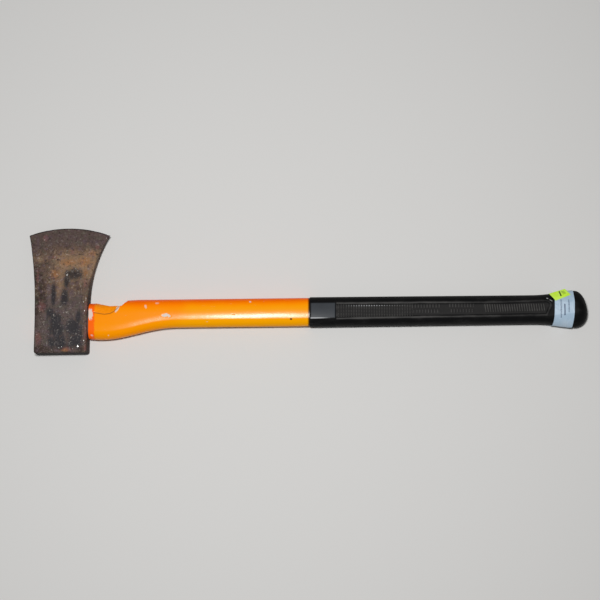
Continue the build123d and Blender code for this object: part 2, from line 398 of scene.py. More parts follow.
class Kit:
    """Builds the nodes of one material."""

    MIX_A, MIX_B, MIX_RESULT = 6, 7, 2

    def __init__(self, name: str) -> None:
        """Starts a material with a principled shader.

        Args:
            name: The material's name.
        """
        self.material = bpy.data.materials.new(name)
        self.material.use_nodes = True
        self.tree = self.material.node_tree
        self.shader = self.tree.nodes["Principled BSDF"]
        place = self.node("ShaderNodeTexCoord").outputs["Object"]
        scaled = self.node(
            "ShaderNodeVectorMath",
            {"operation": "SCALE"},
            {"Vector": place, "Scale": 1.0 / METRES},
        )
        self.place = scaled.outputs["Vector"]

    def node(
        self,
        kind: str,
        settings: Mapping[str, Any] | None = None,
        sockets: Mapping[str | int, Any] | None = None,
    ) -> bpy.types.Node:
        """Adds a node.

        Args:
            kind: The node's type.
            settings: Its properties, set before its sockets.
            sockets: Values or links for its inputs, by name or index.

        Returns:
            The node.
        """
        node = self.tree.nodes.new(kind)
        for title, setting in (settings or {}).items():
            setattr(node, title, setting)
        for title, value in (sockets or {}).items():
            self.feed(node.inputs[title], value)
        return node

    def feed(self, socket: bpy.types.NodeSocket, value: Any) -> None:
        """Links a value or an output to an input, or sets it to a number or a colour.

        Args:
            socket: The input.
            value: What it takes.
        """
        if isinstance(value, Value):
            value = value.socket
        if isinstance(value, bpy.types.NodeSocket):
            self.tree.links.new(value, socket)
        elif isinstance(value, tuple) and socket.type == "RGBA":
            socket.default_value = (*value, 1.0)
        else:
            socket.default_value = value

    def maths(self, operation: str, *terms: Value | float) -> Value:
        """Adds a Math node on one or two terms."""
        node = self.node("ShaderNodeMath", {"operation": operation}, dict(enumerate(terms)))
        return Value(self, node.outputs[0])

    def stretched(self, x: float, y: float, z: float) -> bpy.types.NodeSocket:
        """The place, with each axis multiplied by its own factor.

        Args:
            x: Factor along X.
            y: Factor along Y.
            z: Factor along Z.

        Returns:
            The stretched place.
        """
        node = self.node(
            "ShaderNodeVectorMath",
            {"operation": "MULTIPLY"},
            {0: self.place, 1: (x, y, z)},
        )
        return node.outputs["Vector"]

    def clouds(
        self,
        size: float,
        detail: float,
        rough: float,
        at: bpy.types.NodeSocket | None = None,
    ) -> Value:
        """Random clouds between 0 and 1.

        Args:
            size: Their breadth in millimetres.
            detail: How many finer layers they have.
            rough: How strong the finer layers are.
            at: Where to sample them, if not at the place itself.

        Returns:
            Their strength.
        """
        node = self.node(
            "ShaderNodeTexNoise",
            sockets={
                "Vector": at or self.place,
                "Scale": 1.0 / size,
                "Detail": detail,
                "Roughness": rough,
            },
        )
        return Value(self, node.outputs["Fac"])

    def grains(self, size: float) -> Value:
        """Distance from the middle of random grains, 0 to about 1.

        Args:
            size: Their breadth in millimetres.

        Returns:
            The distance.
        """
        sockets = {"Vector": self.place, "Scale": 1.0 / size}
        node = self.node("ShaderNodeTexVoronoi", sockets=sockets)
        return Value(self, node.outputs["Distance"])

    def mark(self, title: str) -> Value:
        """A value stored on the mesh."""
        node = self.node("ShaderNodeAttribute", {"attribute_name": title})
        return Value(self, node.outputs["Fac"])

    def blend(self, share: Value | float, first: Any, second: Any) -> bpy.types.NodeSocket:
        """Mixes two colours, all second where share is 1.

        Args:
            share: How much of the second.
            first: A colour or a link to one.
            second: The other one.

        Returns:
            The mixed colour.
        """
        node = self.node(
            "ShaderNodeMix",
            {"data_type": "RGBA"},
            {0: share, self.MIX_A: first, self.MIX_B: second},
        )
        return node.outputs[self.MIX_RESULT]

    def lay(self, under: Any, share: Value, tint: Tint) -> bpy.types.NodeSocket:
        """Lays a tint over a colour, at the tint's full strength where share is 1."""
        return self.blend(share * tint.strength, under, tint.colour)

    def relief(self, height: Value, depth: float) -> bpy.types.NodeSocket:
        """Turns a height of 0 to 1 into a normal with bumps so many millimetres deep."""
        sockets = {"Height": height, "Distance": depth * METRES, "Strength": 1.0}
        return self.node("ShaderNodeBump", sockets=sockets).outputs["Normal"]

    def finish(self, **sockets: Any) -> bpy.types.Material:
        """Feeds the shader, with underscores for the spaces in its inputs' names.

        Args:
            sockets: What each named input takes.

        Returns:
            The material.
        """
        for title, value in sockets.items():
            self.feed(self.shader.inputs[title.replace("_", " ")], value)
        return self.material


# ---------------------------------------------------------------- finishes


@dataclass(frozen=True)
class RustedSteel:
    """Forged steel under old rust, with black scale in patches and a ground edge."""

    rust: Colour = from_display(100, 80, 69)
    dark_rust: Tint = Tint(from_display(56, 42, 36), 0.9)
    grey_rust: Tint = Tint(from_display(88, 80, 80), 0.5)
    bit_rust: Tint = Tint(from_display(84, 69, 66), 0.75)
    tan_rust: Tint = Tint(from_display(146, 117, 90), 0.8)
    red_rust: Tint = Tint(from_display(122, 80, 76), 0.55)
    orange_rust: Tint = Tint(from_display(154, 104, 62), 0.7)
    mauve: Tint = Tint(from_display(98, 82, 92), 0.5)
    olive: Tint = Tint(from_display(84, 86, 72), 0.35)
    scale: Tint = Tint(from_display(28, 30, 36), 0.84)
    pale_dust: Colour = from_display(172, 162, 154)
    pale_strength: float = 0.84
    pale_lost_at_bit: float = 0.44
    # bare metal specks, painted near-white: partly their own colour, partly a painted glint
    bare: Tint = Tint(from_display(236, 234, 230), 0.9)
    # dark tint for random dark specks, and for the rims, where it is painted shade
    rim: Tint = Tint(from_display(26, 21, 20), 0.88)
    roughness: float = 0.74
    pit_depth: float = 0.4

    def material(self) -> bpy.types.Material:
        """Builds the finish.

        Returns:
            The material.
        """
        kit = Kit("rusted_forged_steel")
        mottle = kit.clouds(13.0, detail=6.0, rough=0.72)
        blots = kit.clouds(6.2, detail=5.0, rough=0.72)
        speckle = kit.clouds(3.3, detail=4.0, rough=0.74)
        grain = kit.clouds(0.9, detail=2.0, rough=0.6)
        streaks = kit.clouds(6.0, detail=5.0, rough=0.66, at=kit.stretched(1.0, 0.25, 1.0))
        patchy = mottle.swing(1.7) + blots.swing(1.8) + streaks.swing(1.0)
        colour = kit.blend(patchy.ease(-0.2, 0.32), self.rust, self.dark_rust.colour)
        grey = (kit.mark("grey") + patchy * 0.4).ease(0.1, 0.9)
        colour = kit.lay(colour, grey, self.grey_rust)
        shade = (kit.mark("shade") + patchy).ease(0.2, 0.85)
        colour = kit.lay(colour, shade, self.dark_rust)
        bit = (kit.mark("bit") + patchy * 0.8).ease(0.25, 0.8)
        colour = kit.lay(colour, bit, self.bit_rust)
        tan = (kit.mark("tan") + streaks.swing(1.3) + blots.swing(1.4)).ease(0.15, 0.9)
        colour = kit.lay(colour, tan, self.tan_rust)
        red = (kit.mark("red") + mottle.swing(1.6) + speckle.swing(1.2)).ease(0.2, 0.8)
        colour = kit.lay(colour, red, self.red_rust)
        orange = (kit.mark("orange") + blots.swing(2.2) + speckle.swing(1.4)).ease(-0.05, 0.9)
        colour = kit.lay(colour, orange, self.orange_rust)
        tints = kit.clouds(8.0, detail=4.0, rough=0.65)
        colour = kit.lay(colour, tints.ease(0.5, 0.68), self.mauve)
        colour = kit.lay(colour, tints.ease(0.5, 0.34), self.olive)
        ragged = streaks.swing(1.2) + blots.swing(2.2) + speckle.swing(2.2)
        scale = (kit.mark("scale") * 1.2 + ragged * 1.1).ease(-0.04, 0.62)
        colour = kit.lay(colour, scale, self.scale)
        dust = speckle.swing(3.8) + grain.swing(0.7) + blots.swing(2.8)
        pale = dust.ease(0.2, 1.2) * (self.pale_strength - self.pale_lost_at_bit * kit.mark("bit"))
        colour = kit.blend(pale, colour, self.pale_dust)
        colour = kit.lay(colour, dust.ease(-0.05, -1.05), self.rim)
        # bare specks, painted near-white: partly a painted glint
        glints = (kit.mark("bright") + speckle.swing(1.0)).ease(0.36, 0.56)
        colour = kit.lay(colour, glints, self.bare)
        # rims, with painted shade on the sides and the poll
        rim = (kit.mark("rim") + speckle.swing(0.5)).ease(0.1, 0.95)
        colour = kit.lay(colour, rim, self.rim)
        rough = self.roughness + speckle.swing(0.3) - scale * 0.16 - glints * 0.3
        height = speckle * 0.6 + grain * 0.2 + blots * 0.6
        return kit.finish(
            Base_Color=colour,
            Roughness=rough,
            Metallic=glints * 0.4 + scale * 0.15,
            Specular_IOR_Level=0.16,
            Normal=kit.relief(height, self.pit_depth),
        )


@dataclass(frozen=True)
class OrangeJacket:
    """Glossy orange moulding with painted light: its shaded front is painted redder and its lit
    back gold, most of all far from the head.
    """

    # painted shade and light: the front, turned from the lamp, is redder; the back, turned to it,
    # is gold
    front: Colour = from_display(255, 102, 0)
    middle: Colour = from_display(255, 146, 0)
    back: Colour = from_display(250, 166, 0)
    painted_light_gold: float = 0.6  # share of the back's colour in the middle, far from the head
    head_band: Tint = Tint(from_display(255, 98, 14), 0.9)
    broken: Tint = Tint(from_display(255, 148, 6), 0.8)
    fibre: Colour = from_display(222, 214, 204)
    scuff_strength: float = 0.35
    crack: Tint = Tint(from_display(110, 68, 36), 0.6)
    grime_strength: float = 0.18
    stain: Colour = from_display(96, 40, 18)
    painted_joint_shadow: Tint = Tint(from_display(16, 11, 9), 0.95)
    roughness: float = 0.17
    wave_depth: float = 0.3

    def material(self) -> bpy.types.Material:
        """Builds the finish.

        Returns:
            The material.
        """
        kit = Kit("glossy_orange_jacket")
        broad = kit.clouds(38.0, detail=3.0, rough=0.5)
        ragged = kit.clouds(5.0, detail=5.0, rough=0.62)
        fine = kit.clouds(1.6, detail=4.0, rough=0.65)
        dust = kit.clouds(0.7, detail=2.0, rough=0.5)
        # painted light: gold on the lit back, stronger far from the head, and red on the shaded
        # front
        across = kit.mark("across") + broad.swing(0.3)
        painted_light_gold = kit.mark("painted_light_gold").ease(0.7, 1.0)
        middle = kit.blend(painted_light_gold * self.painted_light_gold, self.middle, self.back)
        colour = kit.blend(across.ease(0.2, 1.0), middle, self.front)
        colour = kit.blend(across.ease(0.0, -0.8) * kit.mark("painted_light_gold"), colour, self.back)
        band = (kit.mark("band") + ragged.swing(0.9) + fine.swing(0.5)).ease(0.3, 0.62)
        colour = kit.lay(colour, band, self.head_band)
        torn = (kit.mark("broken") + ragged.swing(0.5)).ease(0.1, 0.6)
        colour = kit.lay(colour, torn, self.broken)
        scuffs = kit.clouds(5.0, detail=5.0, rough=0.7, at=kit.stretched(0.35, 1.0, 1.0))
        scuff = (scuffs + fine.swing(0.4)).ease(0.66, 0.8)
        colour = kit.blend(scuff * self.scuff_strength, colour, self.fibre)
        grime = (fine * 0.6 + broad * 0.4).ease(0.6, 0.72)
        colour = kit.blend(grime * self.grime_strength, colour, self.crack.colour)
        edge = ragged.swing(1.1) + fine.swing(0.9)
        chip = (kit.mark("chip") + edge).ease(0.04, 0.3)
        colour = kit.blend(chip * kit.mark("bare"), colour, self.fibre)
        crack = (kit.mark("crack") + fine.swing(0.9)).ease(0.2, 0.7)
        colour = kit.lay(colour, crack, self.crack)
        spot = (kit.mark("stain") + fine.swing(0.5)).ease(0.1, 0.3)
        colour = kit.blend(spot, colour, self.stain)
        # painted shadow: near-black where the jacket meets the grip's collar
        colour = kit.lay(colour, kit.mark("painted_joint_shadow"), self.painted_joint_shadow)
        dull = torn * 0.35 + chip * 0.5 + crack * 0.4 + scuff * 0.25
        rough = self.roughness + fine.swing(0.08) + dull
        height = broad * 0.5 + fine * 0.1 + dust * 0.03 + dull * 0.3 * fine
        return kit.finish(
            Base_Color=colour,
            Roughness=rough,
            Specular_IOR_Level=0.105,
            Normal=kit.relief(height, self.wave_depth),
        )


@dataclass(frozen=True)
class BlackRubber:
    """Dull black rubber, glossy on its collar and worn pale on its raised pattern, with painted
    light: a grey sheen on the collar's flats and highlights on its edge, the knurl and the knob.
    """

    rubber: Colour = from_display(9, 9, 10)
    film: Tint = Tint(from_display(76, 74, 72), 0.08)
    settled_strength: float = 0.16
    # pale grey on raised crests and lines: partly wear, partly a painted highlight
    rubbed_and_highlit: Tint = Tint(from_display(112, 110, 108), 0.34)
    # painted sheen: grey laid on the collar's flat faces
    smooth: Tint = Tint(from_display(56, 60, 65), 0.9)
    # pale grey for painted highlights: the bright knurl row, the glints by the knob and the
    # collar's lower edge
    worn: Tint = Tint(from_display(190, 192, 194), 0.8)
    roughness: float = 0.6
    coat: float = 0.05
    coat_roughness: float = 0.2
    grain_depth: float = 0.1

    def material(self) -> bpy.types.Material:
        """Builds the finish.

        Returns:
            The material.
        """
        kit = Kit("black_grip_rubber")
        broad = kit.clouds(30.0, detail=4.0, rough=0.6)
        fine = kit.clouds(1.3, detail=4.0, rough=0.65)
        smear = kit.clouds(9.0, detail=4.0, rough=0.6, at=kit.stretched(0.3, 1.0, 1.0))
        film = (smear * 0.6 + broad * 0.5 + fine.swing(0.3)).ease(0.5, 0.8)
        colour = kit.lay(self.rubber, film, self.film)
        settled = (kit.mark("dusty") + fine.swing(0.8)).ease(0.1, 0.9)
        colour = kit.blend(settled * self.settled_strength, colour, self.film.colour)
        rubbed_and_highlit = (kit.mark("rubbed_and_highlit") + smear.swing(1.0) + fine.swing(0.5)).ease(0.05, 1.0)
        colour = kit.lay(colour, rubbed_and_highlit, self.rubbed_and_highlit)
        polish_and_sheen = kit.mark("collar_polish_and_sheen") * kit.mark("flat") * (1.0 - 0.3 * film)
        # the collar's flats get a painted grey sheen; the coat below adds a little real gloss
        colour = kit.lay(colour, polish_and_sheen, self.smooth)
        # painted highlights, stored under the name worn
        worn = (kit.mark("worn") + fine.swing(0.4)).ease(0.1, 0.9)
        colour = kit.lay(colour, worn, self.worn)
        return kit.finish(
            Base_Color=colour,
            Roughness=self.roughness + fine.swing(0.1) - rubbed_and_highlit * 0.1,
            Specular_IOR_Level=0.12,
            Coat_Weight=polish_and_sheen * self.coat,
            Coat_Roughness=self.coat_roughness,
            Normal=kit.relief(fine * 0.5 + broad * 0.5, self.grain_depth),
        )


@dataclass(frozen=True)
class BlankPaper:
    """Paper with faint ruled lines and nothing written on it."""

    title: str
    paper: Colour
    ink: Colour
    ink_strength: float
    soil_strength: float = 0.12
    roughness: float = 0.5
    fibre_depth: float = 0.03

    def material(self) -> bpy.types.Material:
        """Builds the finish.

        Returns:
            The material.
        """
        kit = Kit(self.title)
        fibres = kit.clouds(0.8, detail=3.0, rough=0.6)
        cloudy = kit.clouds(14.0, detail=3.0, rough=0.5)
        tone = kit.blend((cloudy - 0.3) * 0.35, self.paper, (1.0, 1.0, 1.0))
        line = (kit.mark("ruled") + fibres.swing(0.6)).ease(0.35, 0.6)
        colour = kit.blend(line * self.ink_strength, tone, self.ink)
        soil = (cloudy + fibres.swing(0.3)).ease(0.6, 0.8)
        colour = kit.blend(soil * self.soil_strength, colour, self.ink)
        return kit.finish(
            Base_Color=colour,
            Roughness=self.roughness + fibres.swing(0.1),
            Normal=kit.relief(fibres, self.fibre_depth),
        )


@dataclass(frozen=True)
class GlassFibre:
    """Resin and glass fibre, cut across."""

    title: str
    resin: Colour
    strand: Colour
    size: float  # breadth of a strand
    roughness: float = 0.55
    strand_depth: float = 0.12

    def material(self) -> bpy.types.Material:
        """Builds the finish.

        Returns:
            The material.
        """
        kit = Kit(self.title)
        strands = kit.clouds(self.size, detail=4.0, rough=0.7, at=kit.stretched(0.1, 1.0, 1.0))
        specks = kit.grains(self.size * 1.4)
        colour = kit.blend(strands.ease(0.35, 0.65), self.resin, self.strand)
        return kit.finish(
            Base_Color=colour,
            Roughness=self.roughness + strands.swing(0.2),
            Normal=kit.relief(strands * 0.6 + specks * 0.4, self.strand_depth),
        )


# ---------------------------------------------------------------- cross-sections


def even_loop(dense: Array, count: int) -> Array:
    """Spreads points evenly round a closed line.

    Args:
        dense: Points round the line, close together, the first not repeated.
        count: How many points are wanted.

    Returns:
        The points, starting where the line starts.
    """
    closed = np.vstack((dense, dense[:1]))
    steps = np.hypot(*np.diff(closed, axis=0).T)
    along = np.concatenate(([0.0], np.cumsum(steps)))
    places = np.linspace(0.0, along[-1], count, endpoint=False)
    return np.column_stack([np.interp(places, along, closed[:, i]) for i in (0, 1)])


def oval(front: float, back: float, thickness: float, face_radius: float) -> Array:
    """Four-arc oval across the handle, from its front round over the top.

    Args:
        front: Reach to the front of the centre line.
        back: Reach to the back of it.
        thickness: Between the broad faces.
        face_radius: Crown of the broad faces.

    Returns:
        Points close together, as offset to the front and height.
    """
    half_depth, half = (front + back) / 2.0, thickness / 2.0
    sag = face_radius - half
    end = (face_radius**2 - sag**2 - half_depth**2) / (2.0 * (face_radius - half_depth))
    centre = half_depth - end
    tip = math.atan2(sag, centre)
    side = np.linspace(0.0, tip, 40, endpoint=False)
    face = np.linspace(tip, math.pi / 2.0, 60, endpoint=False)
    quarter = np.vstack(
        (
            np.column_stack((centre + end * np.cos(side), end * np.sin(side))),
            np.column_stack((face_radius * np.cos(face), face_radius * np.sin(face) - sag)),
        )
    )
    return mirrored(quarter, (0.0, half)) + ((front - back) / 2.0, 0.0)


def mirrored(quarter: Array, top: Point) -> Array:
    """Completes a section from its front upper quarter.

    Args:
        quarter: Points from the front up to, but not with, the top.
        top: The point at the top.

    Returns:
        Points all round, from the front over the top.
    """
    upper = np.vstack((quarter, [top], quarter[:0:-1] * (-1.0, 1.0)))
    return np.vstack((upper, -upper))


def oblong(depth: float, thickness: float, corner: float) -> Array:
    """Rounded oblong across the handle, from its front round over the top.

    Args:
        depth: From front to back.
        thickness: From top to bottom.
        corner: Radius of its corners.

    Returns:
        Points all round, as offset to the front and height.
    """
    turn = np.linspace(0.0, math.pi / 2.0, 24)
    centre = (depth / 2.0 - corner, thickness / 2.0 - corner)
    bend = np.column_stack((corner * np.cos(turn), corner * np.sin(turn))) + centre
    side = np.linspace((depth / 2.0, 0.0), bend[0], 8, endpoint=False)
    face = np.linspace(bend[-1], (0.0, thickness / 2.0), 24, endpoint=False)[1:]
    return mirrored(np.vstack((side, bend, face)), (0.0, thickness / 2.0))


@dataclass(frozen=True)
class CentreLine:
    """Centre line of the handle, which leans towards the bit."""

    offset: float = 9.5
    lean: float = 0.66
    height: float = 20.0

    def y(self, x: Array | float) -> Array | float:
        """Its place across the axe at x."""
        return self.offset + x * math.tan(math.radians(self.lean))

    def loop(self, x: float, section: Array, on_line: bool = True) -> Array:
        """Puts a section across the handle at x.

        Args:
            x: Place along the handle.
            section: Offsets to the front and heights.
            on_line: Whether it is centred on the line, or on the eye.

        Returns:
            The section's points.
        """
        middle = self.y(x) if on_line else 0.0
        across, up = section.T
        return np.column_stack((np.full(len(section), x), middle + across, self.height + up))


LINE = CentreLine()


def steps_between(start: float, end: float, spacing: float) -> list[float]:
    """Places from start up to, but not with, end, about spacing apart."""
    count = max(1, round((end - start) / spacing))
    return [start + (end - start) * i / count for i in range(count)]


# ---------------------------------------------------------------- head


@dataclass
class Head:
    """The forged head: flat cheeks, a wedge down to the bit, and a tapered eye."""

    depth: float = 86.5
    thickness: float = 40.0
    poll_reach: float = 55.0
    bit_reach: float = 155.3
    bit_crown: float = 12.0
    toe_flare: float = 15.5
    toe_flare_start: float = -5.5
    heel_flare: float = 32.8
    heel_flare_start: float = 24.5
    taper_start: float = 20.0
    taper_soft: float = 9.0  # half the length over which the cheek turns
    blade_thickness: float = 3.2
    bevel_angle: float = 14.0
    edge_thickness: float = 0.8
    edge_round: float = 3.0  # along the cheeks
    most_round: float = 0.7  # share of the half thickness that it may take
    poll_round: float = 1.5
    poll_corner: float = 4.0
    poll_slant: float = 1.5  # how much further the poll reaches at the toe
    eye_length: float = 54.0
    eye_width: float = 24.0
    eye_corner: float = 11.0
    eye_spread: float = 3.0
    fan_start: float = 62.0  # height where rows of points begin to follow the edge
    spacing: float = 0.85
    cheek_points: int = 124  # across each cheek
    side_points: int = 30  # down each side
    round_points: int = 5  # inside each rounded edge
    corner_rows: int = 11  # round the poll's corner
    cap_rings: int = 18
    wave_loss: float = 0.16  # each the most that it takes off
    lump_loss: float = 0.1
    pit_loss: float = 0.12
    patch_pit_loss: float = 0.2  # more in patches of heavy rust
    deep_pit_loss: float = 0.28
    edge_wave: float = 0.5
    nick_depth: float = 0.7
    # marks give X, Y, length and width, and a turn in degrees where they have one
    grey_patch: Mark = Mark(8.0, -18.0, 66.0, 84.0)
    grey_patch_scale: float = 0.25
    scale_patches: tuple[Mark, ...] = (
        Mark(19.5, 75.5, 37.0, 23.0),
        Mark(11.5, 77.0, 19.0, 16.0),
        Mark(8.0, 66.0, 13.0, 32.0),
        Mark(4.5, 36.0, 16.0, 38.0),
        Mark(-13.3, 41.0, 11.0, 46.0),
        Mark(-18.0, 9.0, 14.0, 28.0),
        Mark(32.0, -29.0, 13.0, 26.0),
        Mark(-14.0, -38.0, 16.0, 26.0),
        Mark(28.5, 3.0, 13.0, 32.0),
        Mark(24.0, -14.0, 28.0, 36.0),
        Mark(25.0, -37.0, 28.0, 28.0),
        Mark(-8.0, 0.0, 26.0, 26.0),
        Mark(-7.0, -16.0, 27.0, 40.0),
        Mark(-1.5, -38.0, 23.0, 28.0),
    )
    orange_spots: tuple[Mark, ...] = (
        Mark(36.0, 97.0, 32.0, 24.0),
        Mark(9.0, 96.0, 36.0, 18.0),
        Mark(-12.0, 76.0, 18.0, 24.0),
        Mark(48.0, 111.0, 18.0, 12.0),
        Mark(38.0, 78.0, 11.0, 18.0),
        Mark(8.0, -51.0, 22.0, 8.0),
    )
    red_spots: tuple[Mark, ...] = (
        Mark(-13.0, 104.0, 15.0, 12.0),
        Mark(15.0, 114.0, 20.0, 14.0),
        Mark(56.0, 123.0, 14.0, 12.0),
        Mark(-41.0, 70.0, 8.0, 40.0),
        Mark(-32.0, 138.0, 16.0, 22.0),
        Mark(-32.0, 20.0, 20.0, 40.0),
        Mark(-36.0, -32.0, 18.0, 40.0),
        Mark(41.0, -48.0, 9.0, 18.0),
        Mark(41.0, -20.0, 10.0, 50.0),
        Mark(41.0, 20.0, 10.0, 36.0),
        Mark(12.0, -49.0, 34.0, 12.0),
        Mark(38.0, 60.0, 12.0, 24.0),
    )
    bright_specks: tuple[Mark, ...] = (
        Mark(29.3, -44.7, 5.0, 5.4),
        Mark(38.7, -35.2, 3.0, 3.4),
        Mark(7.6, 74.3, 4.2, 4.2),
        Mark(70.0, 138.6, 3.4, 2.6, -50.0),
    )
    dull_share: float = 0.6  # how bright a dull speck is
    dull_specks: tuple[Mark, ...] = (
        Mark(40.6, 35.0, 6.0, 5.0, 30.0),
        Mark(36.5, 37.5, 4.0, 3.4),
        Mark(37.0, 29.0, 4.0, 4.4),
        Mark(38.8, 14.5, 4.0, 8.0),
        Mark(-11.0, -26.5, 4.0, 3.6),
        Mark(-2.0, -47.1, 4.4, 4.4),
        Mark(3.0, -45.6, 3.4, 3.4),
        Mark(-33.0, 135.0, 4.0, 3.0),
    )

    def sides(self, y: Array) -> tuple[Array, Array]:
        """Toe and heel side at height y.

        Args:
            y: Heights along the sides.

        Returns:
            Where the toe side is, and the heel side.
        """
        end = self.bit_reach - self.bit_crown
        half = self.depth / 2.0
        toe = -half - arc_flare(y, self.toe_flare_start, end, self.toe_flare)
        heel = half + arc_flare(y, self.heel_flare_start, end, self.heel_flare)
        return toe, heel

    def edge_arc(self) -> tuple[float, float, float]:
        """Middle in X and Y, and radius, of the cutting edge's arc.

        Returns:
            The two places and the radius.
        """
        half_chord = (self.depth + self.toe_flare + self.heel_flare) / 2.0
        radius = (half_chord**2 + self.bit_crown**2) / (2.0 * self.bit_crown)
        return (self.heel_flare - self.toe_flare) / 2.0, self.bit_reach - radius, radius

    def edge_height(self, share: Array) -> Array:
        """Height of the cutting edge, from the toe at share 0 to the heel at 1.

        Args:
            share: Shares of the way.

        Returns:
            The heights.
        """
        middle_x, middle_y, radius = self.edge_arc()
        toe, heel = self.sides(np.array(self.bit_reach))
        x = toe + (heel - toe) * share
        return middle_y + np.sqrt(radius**2 - (x - middle_x) ** 2)

    def to_edge(self, x: Array, y: Array) -> Array:
        """Distance from a place to the cutting edge's arc."""
        middle_x, middle_y, radius = self.edge_arc()
        return radius - np.hypot(x - middle_x, y - middle_y)

    def half_thickness(self, x: Array, y: Array) -> Array:
        """Half the thickness at a place on the cheeks.

        Args:
            x: Places along the handle.
            y: Places towards the bit.

        Returns:
            The half thickness at each place.
        """
        slope = (self.thickness - self.blade_thickness) / (self.bit_reach - self.taper_start) / 2.0
        past = y - self.taper_start
        soft = self.taper_soft
        turned = np.where(past > soft, past, np.maximum(past + soft, 0.0) ** 2 / (4.0 * soft))
        wedge = self.thickness / 2.0 - slope * turned
        to_edge = np.maximum(self.to_edge(x, y), 0.0)
        bevel = self.edge_thickness / 2.0 + to_edge * math.tan(math.radians(self.bevel_angle))
        return np.minimum(wedge, bevel)

    @staticmethod
    def rounded(radius: float, depth: Array) -> Array:
        """How far a rounded corner is drawn in at a depth below its face."""
        left = np.maximum(radius - depth, 0.0)
        return radius - np.sqrt(radius**2 - left**2)

    def outline_loop(self) -> tuple[Array, ...]:
        """One loop round the head, as shares of its width and thickness.

        Returns:
            Share across, offset to the side in rounds, share of the height and offset
            up in rounds.
        """
        turn = np.linspace(0.0, math.pi / 2.0, self.round_points + 2)[1:-1]
        flat = np.linspace(0.0, 1.0, self.cheek_points)
        side = np.linspace(1.0, -1.0, self.side_points)
        zeros, ones = np.zeros_like, np.ones_like
        across = [flat, ones(turn), ones(side), ones(turn)]
        out = [zeros(flat), np.sin(turn), ones(side), np.cos(turn)]
        level = [ones(flat), ones(turn), side, -ones(turn)]
        up = [ones(flat), np.cos(turn), zeros(side), -np.sin(turn)]
        half = [np.concatenate(part) for part in (across, out, level, up)]
        whole = (1.0 - half[0], -half[1], -half[2], -half[3])
        return tuple(np.concatenate(pair) for pair in zip(half, whole))

    def skin(self) -> Skin:
        """Builds the closed surface, before wear.

        Returns:
            The surface.
        """
        across, out, level, up = self.outline_loop()
        low = -self.poll_reach
        turns = np.linspace(0.0, math.pi / 2.0, self.corner_rows, endpoint=False)
        heights = [low + self.poll_corner * (1.0 - math.cos(turn)) for turn in turns]
        heights += steps_between(low + self.poll_corner, self.fan_start, self.spacing)
        top = self.edge_height(across)
        fan = np.linspace(0.0, 1.0, round((self.bit_reach - self.fan_start) / self.spacing))
        levels = [np.full(across.shape, y) for y in heights]
        levels += [self.fan_start + (top - self.fan_start) * share for share in fan]
        rows = []
        for y in levels:
            corner = self.rounded(self.poll_corner, y - low)
            toe, heel = self.sides(y)
            toe, heel = toe + corner, heel - corner
            half = self.half_thickness(toe + (heel - toe) * across, y)
            half = half - self.rounded(self.poll_round, y - low)
            curve = np.minimum(self.edge_round, half * self.most_round)
            x = toe + curve + (heel - toe - 2.0 * curve) * across
            z = (half - curve) * level + curve * up
            rows.append(np.stack((x + out * curve, y, z + self.thickness / 2.0), axis=-1))
        folded = rows[-1].copy()
        folded[:, 2] = self.thickness / 2.0
        rows.append(folded)
        return Skin(np.array(rows), open_end=True).close_start(self.cap_rings)

    def eye_cutter(self) -> bpy.types.Object:
        """The tapered eye, as a piece to cut away.

        Returns:
            The cutter.
        """
        half, over, around = self.depth / 2.0, 3.0, 96
        rows = []
        for x in (-half - over, half + over):
            more = self.eye_spread * (half - x) / self.depth
            corner = self.eye_corner + more / 2
            section = oblong(self.eye_length + more, self.eye_width + more, corner)
            rows.append(LINE.loop(x, even_loop(section, around), on_line=False))
        return Skin(np.array(rows)).build("eye_cutter")

    def worn(self, points: Array) -> Array:
        """How much rust and use have taken off at each point.

        Args:
            points: Places in millimetres, one a row.

        Returns:
            The loss at each.
        """
        x, y, _ = points.T
        waves = 0.5 + 0.5 * random_field(points, size=26.0, seed=3.1)
        lumps = 0.5 + 0.5 * random_field(points, size=6.5, seed=9.4)
        pits = random_field(points, size=3.4, seed=5.2, spread=Spread.PITS)
        deep = random_field(points, size=9.0, seed=7.7, spread=Spread.PITS)
        patchy = ease(random_field(points, size=18.0, seed=1.9), -0.1, 0.35)
        loss = self.wave_loss * waves + self.lump_loss * lumps
        loss += (self.pit_loss + self.patch_pit_loss * patchy) * pits
        loss += self.deep_pit_loss * patchy * ease(deep, 0.5, 0.9)
        return loss * (0.25 + 0.75 * ease(self.to_edge(x, y), 0.0, 20.0))

    def nicked(self, points: Array) -> Array:
        """Lowers the cutting edge where it is nicked and wavy.

        Args:
            points: Places in millimetres, one a row.

        Returns:
            The moved places.
        """
        x, y, _ = points.T
        near = 1.0 - ease(self.to_edge(x, y), 0.0, 5.0)
        line = np.column_stack((x, 0.0 * x, 0.0 * x))
        wave = 0.5 + 0.5 * random_field(line, size=14.0, seed=2.2)
        chips = ease(random_field(line, size=4.0, seed=6.1), 0.3, 0.7)
        moved = points.copy()
        moved[:, 1] -= near * (self.edge_wave * wave + self.nick_depth * chips)
        return moved

    def dress(self) -> bpy.types.Object:
        """Builds the head, wears it and gives it its finish.

        Returns:
            The piece.
        """
        piece = self.skin().build("head_forging")
        cut_away(piece, self.eye_cutter())
        points = read_points(piece)
        normals = read_points(piece, "normal")
        points = self.nicked(points - normals * self.worn(points)[:, None])
        slant = self.poll_slant * ease(points[:, 1], 0.0, -self.poll_reach)
        points[:, 1] -= slant * (0.5 - points[:, 0] / self.depth)
        write_points(piece, points)
        self.paint(piece, points)
        piece.data.materials.clear()
        piece.data.materials.append(RustedSteel().material())
        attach(piece, BODY)
        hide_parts("head")
        return piece

